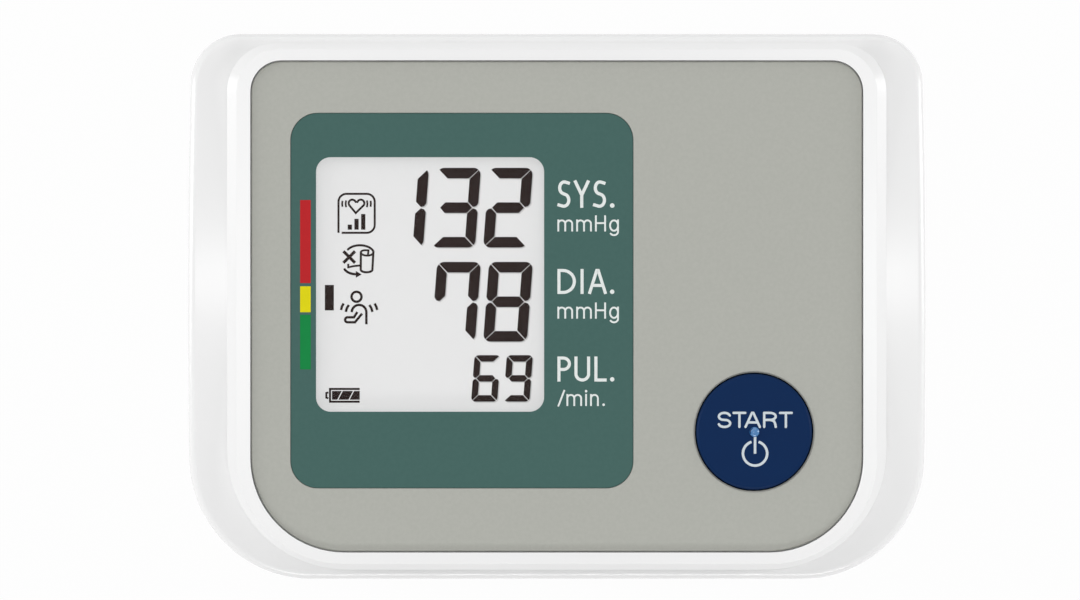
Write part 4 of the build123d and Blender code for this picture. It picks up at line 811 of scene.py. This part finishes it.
def still_sign() -> Sign:
    """The keep-still sign: a round head over a bent arm, with ripples at both sides.

    Returns:
        The sign.
    """
    head = arc((-37.86, 1.82), (0.94, 0.94), 0, 360)
    shoulders = chain(arc((-37.38, -1.1), (1.38, 1.38), 180, 0), line((-36.0, -3.39)))
    bent_arm = chain(line((-37.7, -1.06), (-38.35, -2.06)), arc((-39.55, -2.53), (0.47, 0.47), 90, 270),
                     line((-38.15, -3.0), (-36.81, -1.36)))
    ripples = [Stroke(arc((-37.37, -1.35), (radius, radius), start, end))
               for radius, low, high in ((2.52, 7, 40), (3.5, 11, 33))
               for start, end in ((low, high), (180 - high, 180 - low))]
    return Sign((Stroke(head), Stroke(shoulders), Stroke(bent_arm), *ripples))


def battery_sign() -> Sign:
    """The battery sign: an outline open at the right, a small pole at the left and three slanted charges.

    Returns:
        The sign.
    """
    left, right, bottom, top = -42.87, -37.26, -18.02, -15.61
    outline = line((right, top), (left, top), (left, bottom), (right, bottom))
    pole = line((left - 0.3, top - 0.65), (left - 0.7, top - 0.75), (left - 0.7, bottom + 0.75),
                (left - 0.3, bottom + 0.65))
    slant, gap, inset, first, second = 0.85, 0.22, 0.38, -41.51, -39.38
    foot, head = bottom + inset, top - inset
    charges = (line((left + inset, foot), (first, foot), (first + slant, head), (left + inset, head)),
               line((first + gap, foot), (second, foot), (second + slant, head), (first + gap + slant, head)),
               line((second + gap, foot), (right, foot), (right, head), (second + gap + slant, head)))
    return Sign((Stroke(outline, 0.85), Stroke(pole, 0.8)), charges)


@dataclass
class DisplayImage:
    """What the display shows: three readings, a level mark and four pictograms, all liquid crystal, and a
    painted shadow under each reading.
    """

    surface: float = -2.6  # lift of the display glass
    film: float = 0.05  # thickness of a figure
    shadow_film: float = 0.005
    shadow: float = 0.2  # how far a figure's painted shadow lies to the right and below
    fine: float = 0.46  # width of a pictogram's line
    large: Digits = Digits("", right=-4.5, top=0.0, height=15.07, width=8.3, pitch=9.82, thickness=2.0)
    small: Digits = Digits("", right=-4.5, top=0.0, height=8.78, width=4.95, pitch=6.1, thickness=1.22,
                           gap=0.14)
    signs: dict[str, Sign] = field(default_factory=lambda: {
        "sign_uneven_pulse": pulse_sign(), "sign_cuff_fit": cuff_sign(), "sign_keep_still": still_sign(),
        "sign_pressure_level": Sign(shapes=(box(-43.85, -0.75, -42.15, 4.05),)),
        "sign_battery": battery_sign()})

    def readings(self) -> dict[str, Digits]:
        """The systolic, diastolic and pulse readings, by name of piece."""
        return {"reading_systolic": replace(self.large, text="132", top=26.2),
                "reading_diastolic": replace(self.large, text="78", top=8.41),
                "reading_pulse": replace(self.small, text="69", top=-9.22)}

    def build(self) -> None:
        """Makes a piece for each reading, for its painted shadow and for each sign."""
        for name, digits in self.readings().items():
            made = Slabs(self.surface, self.film)
            digits.draw(made)
            made.piece(name, SEGMENT_DARK, "housing")
            # The painted shadow: the same figures as grey slabs, offset to the lower right.
            painted_shadow = Slabs(self.surface, self.shadow_film, step=0.0)
            replace(digits, right=digits.right + self.shadow, top=digits.top - self.shadow).draw(painted_shadow)
            painted_shadow.piece(f"{name}_shadow", PAINTED_SEGMENT_SHADOW, "housing")
        for name, sign in self.signs.items():
            made = Slabs(self.surface, self.film)
            sign.draw(made, self.fine)
            made.piece(name, SEGMENT_DARK, "housing")


@dataclass
class ButtonPrint:
    """The word, the power sign and the dot on the start button. They travel with it."""

    surface: float = -0.3  # lift of the button's face
    ink: float = 0.02  # thickness of the ink
    word: Label = Label("sTART", left=30.36, right=44.6, baseline=-22.99, capital=3.1, weight=0.45,
                        ends=Ends.ROUND, spacing=0.19, kerning={"TA": -0.175, "sT": -0.04})
    middle: Point = (37.46, -27.78)  # of the power sign's ring
    radius: float = 2.29
    weight: float = 0.48  # width of the sign's lines
    opening: float = 17.0  # half of the ring's opening, in degrees
    stem: Point = (-0.05, 3.25)  # foot and top, from the ring's middle
    dot_middle: Point = (37.36, -23.72)
    dot_radius: float = 0.95
    dot_height: float = 0.5
    dot_crown: float = 85.0  # degrees at which the dot's flat crown begins

    def build(self) -> None:
        """Makes the two printed pieces and the dot."""
        word = Slabs(self.surface, self.ink)
        self.word.draw(word)
        word.piece("label_start", PALE_INK, "start_button")
        sign = Slabs(self.surface, self.ink)
        ring = arc(self.middle, (self.radius, self.radius), 90 + self.opening, 450 - self.opening)
        sign.stroke(ring, self.weight, Ends.FLAT)
        u, v = self.middle
        foot, top = self.stem
        sign.stroke(line((u, v + foot), (u, v + top)), self.weight, Ends.FLAT)
        sign.piece("label_power", PALE_INK, "start_button")
        self.dot()

    def dot(self) -> None:
        """Makes the domed dot that a finger feels.

        It is a flattened half ball: rings at even angles from the rim to the crown, where a ring's radius
        falls as the cosine of its angle and its height grows as the sine.
        """
        size, rings = 32, 8
        turn = np.radians(np.linspace(0, 360, size, endpoint=False))
        rise = np.radians(np.linspace(0, self.dot_crown, rings))[:, None]
        u, v = self.dot_middle
        points = np.stack([u + self.dot_radius * np.cos(rise) * np.cos(turn),
                           v + self.dot_radius * np.cos(rise) * np.sin(turn),
                           self.surface + self.dot_height * np.sin(rise) + 0 * turn], axis=-1)
        row, column = np.meshgrid(np.arange(rings - 1), np.arange(size), indexing="ij")
        here, onward = row * size + column, row * size + (column + 1) % size
        faces = np.stack([here, onward, onward + size, here + size], axis=-1).reshape(-1, 4).tolist()
        ring = np.arange(size)
        faces += [ring[::-1].tolist(), (ring + (rings - 1) * size).tolist()]
        made = add_mesh("start_dot", FACE.place(points.reshape(-1, 3)), faces, DOT_BLUE.material())
        made.data.shade_smooth()
        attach(made, "start_button")


@dataclass
class Carried:
    """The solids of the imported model, each with its finish."""

    by_slot: dict[str, Finish] = field(default_factory=lambda: {
        "white_shell": WHITE_ABS, "grey_panel": GREY_PAINT, "green_surround": GREEN_FILM,
        "clear_lens": CLEAR_ACRYLIC, "display_glass": GLOWING_DISPLAY_GLASS, "reflector_film": REFLECTOR_FILM,
        "holder_plastic": HOLDER_ABS, "dark_plastic": BLACK_NYLON, "strip_rubber": GREY_RUBBER,
        "board_green": SOLDER_MASK, "bare_metal": PLATED_STEEL, "capacitor_sleeve": SLEEVE_FILM,
        "copper_winding": COPPER_WIRE, "button_blue": BUTTON_BLUE, "foot_rubber": FOOT_RUBBER})
    sheathed: tuple[str, ...] = ("battery_leads", "pump_leads", "jack_leads")
    turned_cells: tuple[str, ...] = ("battery_cell_2", "battery_cell_4")  # raised tip towards the user

    def cell_finish(self, node: str) -> Finish:
        """The wrap of one cell, whose bands are measured from that cell's own ends.

        Args:
            node: The cell's node.

        Returns:
            The wrap.
        """
        low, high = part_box(node)
        first, last = (high.y, low.y) if node in self.turned_cells else (low.y, high.y)
        return CellWrap(f"cell_wrap_{node[-1]}", "#26272B", roughness=0.3, metallic=0.4, first_end=first / MM,
                        last_end=last / MM)

    def dress(self, frame: dict) -> None:
        """Gives every carried-over solid its finish.
        """
        for part in frame["record"]["subparts"]:
            node, slot = part["node"], part["material_slot"]
            if slot == "cell_wrap":
                finish = self.cell_finish(node)
            else:
                finish = LEAD_SHEATH if node in self.sheathed else self.by_slot[slot]
            solid = frame["nodes"][node]
            if not solid.material_slots:
                solid.data.materials.append(finish.material())
            for place in solid.material_slots:
                place.material = finish.material()
            LOG.info("%s: %s", node, finish.name)


@dataclass(frozen=True)
class Lamp:
    """A soft rectangular lamp aimed at the middle of the face.

    Its power is its level times the square of its distance, times pi for the lamp's spread and pi again for
    the spread of a matt surface, so that a white surface that faces it renders at its level.
    """

    name: str
    place: Place  # its middle in the row frame, in metres
    size: Point  # width and height in metres
    level: float  # share of white

    def hang(self) -> None:
        """Adds the lamp to the scene."""
        light = bpy.data.lights.new(self.name, "AREA")
        light.shape = "RECTANGLE"
        light.size, light.size_y = self.size
        away = np.array(self.place) - np.array(FACE.centre) * MM
        light.energy = float(self.level * math.pi**2 * (away @ away))
        made = bpy.data.objects.new(self.name, light)
        made.location = self.place
        made.rotation_mode = "QUATERNION"
        made.rotation_quaternion = Vector(away).to_track_quat("Z", "Y")
        bpy.context.scene.collection.objects.link(made)


@dataclass
class Studio:
    """A pale floor, soft lamps and the camera that looks straight at the face."""

    ambient: float = 0.48  # even light on the object, as a share of white
    floor_size: float = 8.0  # in metres
    floor_grey: float = 0.6  # the paper's own colour, under the light that it gives off
    paper_glow: float = 0.97  # share of plain white in the paper as seen, so that its shadow stays light
    paper_bounce: float = 0.25  # share of plain white that it gives the object, so that no underside is black
    view_width: float = 204.5  # what the picture's width takes in at its middle, in millimetres
    view_middle: Place = (-3.17, 1.21, -7.0)  # the picture's middle on the face's frame, in millimetres
    distance: float = 3000.0  # of the camera from that place, in millimetres
    sensor: float = 36.0  # the camera's sensor width, in millimetres
    front_light: Place = (0.0, -1300.0, 700.0)  # in millimetres on the face's frame
    catch_light: Place = (122.0, 5.0, 1000.0)  # likewise, for a bright spot at each side of the face

    def seen(self, tree: Tree) -> Socket:
        """Tells rays that show the background from those that light the object.

        Args:
            tree: The world's or the floor's node tree.

        Returns:
            A socket that is one for a ray from the camera, gloss or glass, and else nought.
        """
        rays = add_node(tree, "ShaderNodeLightPath").outputs
        sent_on = add_node(tree, "ShaderNodeMath", {0: rays["Is Glossy Ray"], 1: rays["Is Transmission Ray"]},
                           operation="MAXIMUM")
        either = add_node(tree, "ShaderNodeMath", {0: rays["Is Camera Ray"], 1: sent_on.outputs[0]},
                          operation="MAXIMUM")
        return either.outputs[0]

    def world(self) -> None:
        """An even light from all round that shows as white."""
        world = bpy.data.worlds.new("studio_air")
        bpy.context.scene.world = world
        world.use_nodes = True
        tree = world.node_tree
        tree.nodes.clear()
        level = add_node(tree, "ShaderNodeMapRange", {
            "Value": self.seen(tree), "To Min": self.ambient, "To Max": 1.0})
        air = add_node(tree, "ShaderNodeBackground",
                       {"Color": (1.0, 1.0, 1.0, 1.0), "Strength": level.outputs[0]})
        add_node(tree, "ShaderNodeOutputWorld", {"Surface": air.outputs[0]})

    def paper(self) -> bpy.types.Material:
        """Builds the floor's paper: white as seen from above, pale grey to the light, clear from below.

        Returns:
            The material.
        """
        made = bpy.data.materials.new("studio_paper")
        made.use_nodes = True
        tree = made.node_tree
        tree.nodes.clear()
        grey = self.floor_grey
        matt = add_node(tree, "ShaderNodeBsdfDiffuse", {"Color": (grey, grey, grey, 1.0)})
        white = add_node(tree, "ShaderNodeEmission", {"Color": (1.0, 1.0, 1.0, 1.0), "Strength": 1.0})
        share = add_node(tree, "ShaderNodeMapRange", {
            "Value": self.seen(tree), "To Min": self.paper_bounce, "To Max": self.paper_glow})
        front = add_node(tree, "ShaderNodeMixShader", {
            0: share.outputs[0], 1: matt.outputs[0], 2: white.outputs[0]})
        from_below = add_node(tree, "ShaderNodeMath", {
            0: add_node(tree, "ShaderNodeNewGeometry").outputs["Backfacing"],
            1: add_node(tree, "ShaderNodeLightPath").outputs["Is Camera Ray"]}, operation="MULTIPLY")
        clear = add_node(tree, "ShaderNodeBsdfTransparent")
        sides = add_node(tree, "ShaderNodeMixShader", {
            0: from_below.outputs[0], 1: front.outputs[0], 2: clear.outputs[0]})
        add_node(tree, "ShaderNodeOutputMaterial", {"Surface": sides.outputs[0]})
        return made

    def floor(self) -> None:
        """Lays a wide sheet at table height, which keeps a light shadow of the object."""
        half = self.floor_size / 2
        corners = np.column_stack([box(-half, -half, half, half), np.zeros(4)])
        add_mesh("studio_floor", corners, [[0, 1, 2, 3]], self.paper())

    def lamps(self) -> list[Lamp]:
        """Places the lamps: a large one behind, one in front, and a tall and a small one at each side.

        Returns:
            The lamps.
        """
        side_lamps = []
        for side, name in ((-1, "left"), (1, "right")):
            catch = FACE.place(self.catch_light * np.array([side, 1.0, 1.0]))
            side_lamps += [Lamp(f"lamp_{name}", (side * 1.1, 0.05, 0.35), size=(0.3, 0.9), level=0.42),
                           Lamp(f"lamp_catch_{name}", tuple(catch), size=(0.05, 0.05), level=0.025)]
        front = tuple(FACE.place(np.array(self.front_light)))
        return [Lamp("lamp_back", (-0.25, 0.9, 1.1), size=(2.4, 1.6), level=0.45),
                Lamp("lamp_front", front, size=(1.0, 0.25), level=0.32), *side_lamps]

    def camera(self) -> None:
        """Sets a long lens square to the face, so that the rim hides the sides of the housing."""
        data = bpy.data.cameras.new("camera")
        data.sensor_width = self.sensor
        data.lens = self.sensor * self.distance / self.view_width
        data.clip_end = 100.0
        made = bpy.data.objects.new("camera", data)
        u, v, lift = self.view_middle
        made.location = FACE.place(np.array([u, v, lift + self.distance]))
        made.rotation_mode = "QUATERNION"
        made.rotation_quaternion = Vector(FACE.axes[2]).to_track_quat("Z", "Y")
        bpy.context.scene.collection.objects.link(made)
        bpy.context.scene.camera = made

    def build(self) -> None:
        """Sets up the floor, the light and the camera."""
        bpy.context.scene.view_settings.view_transform = "Standard"
        self.world()
        self.floor()
        for lamp in self.lamps():
            lamp.hang()
        self.camera()


def main() -> None:
    """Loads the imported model, dresses it piece by piece and sets up the studio."""
    logging.basicConfig(level=logging.INFO, format="%(name)s: %(message)s")
    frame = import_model()
    Studio().build()
    Carried().dress(frame)
    FacePrint().build()
    DisplayImage().build()
    ButtonPrint().build()


if __name__ == "__main__":
    main()
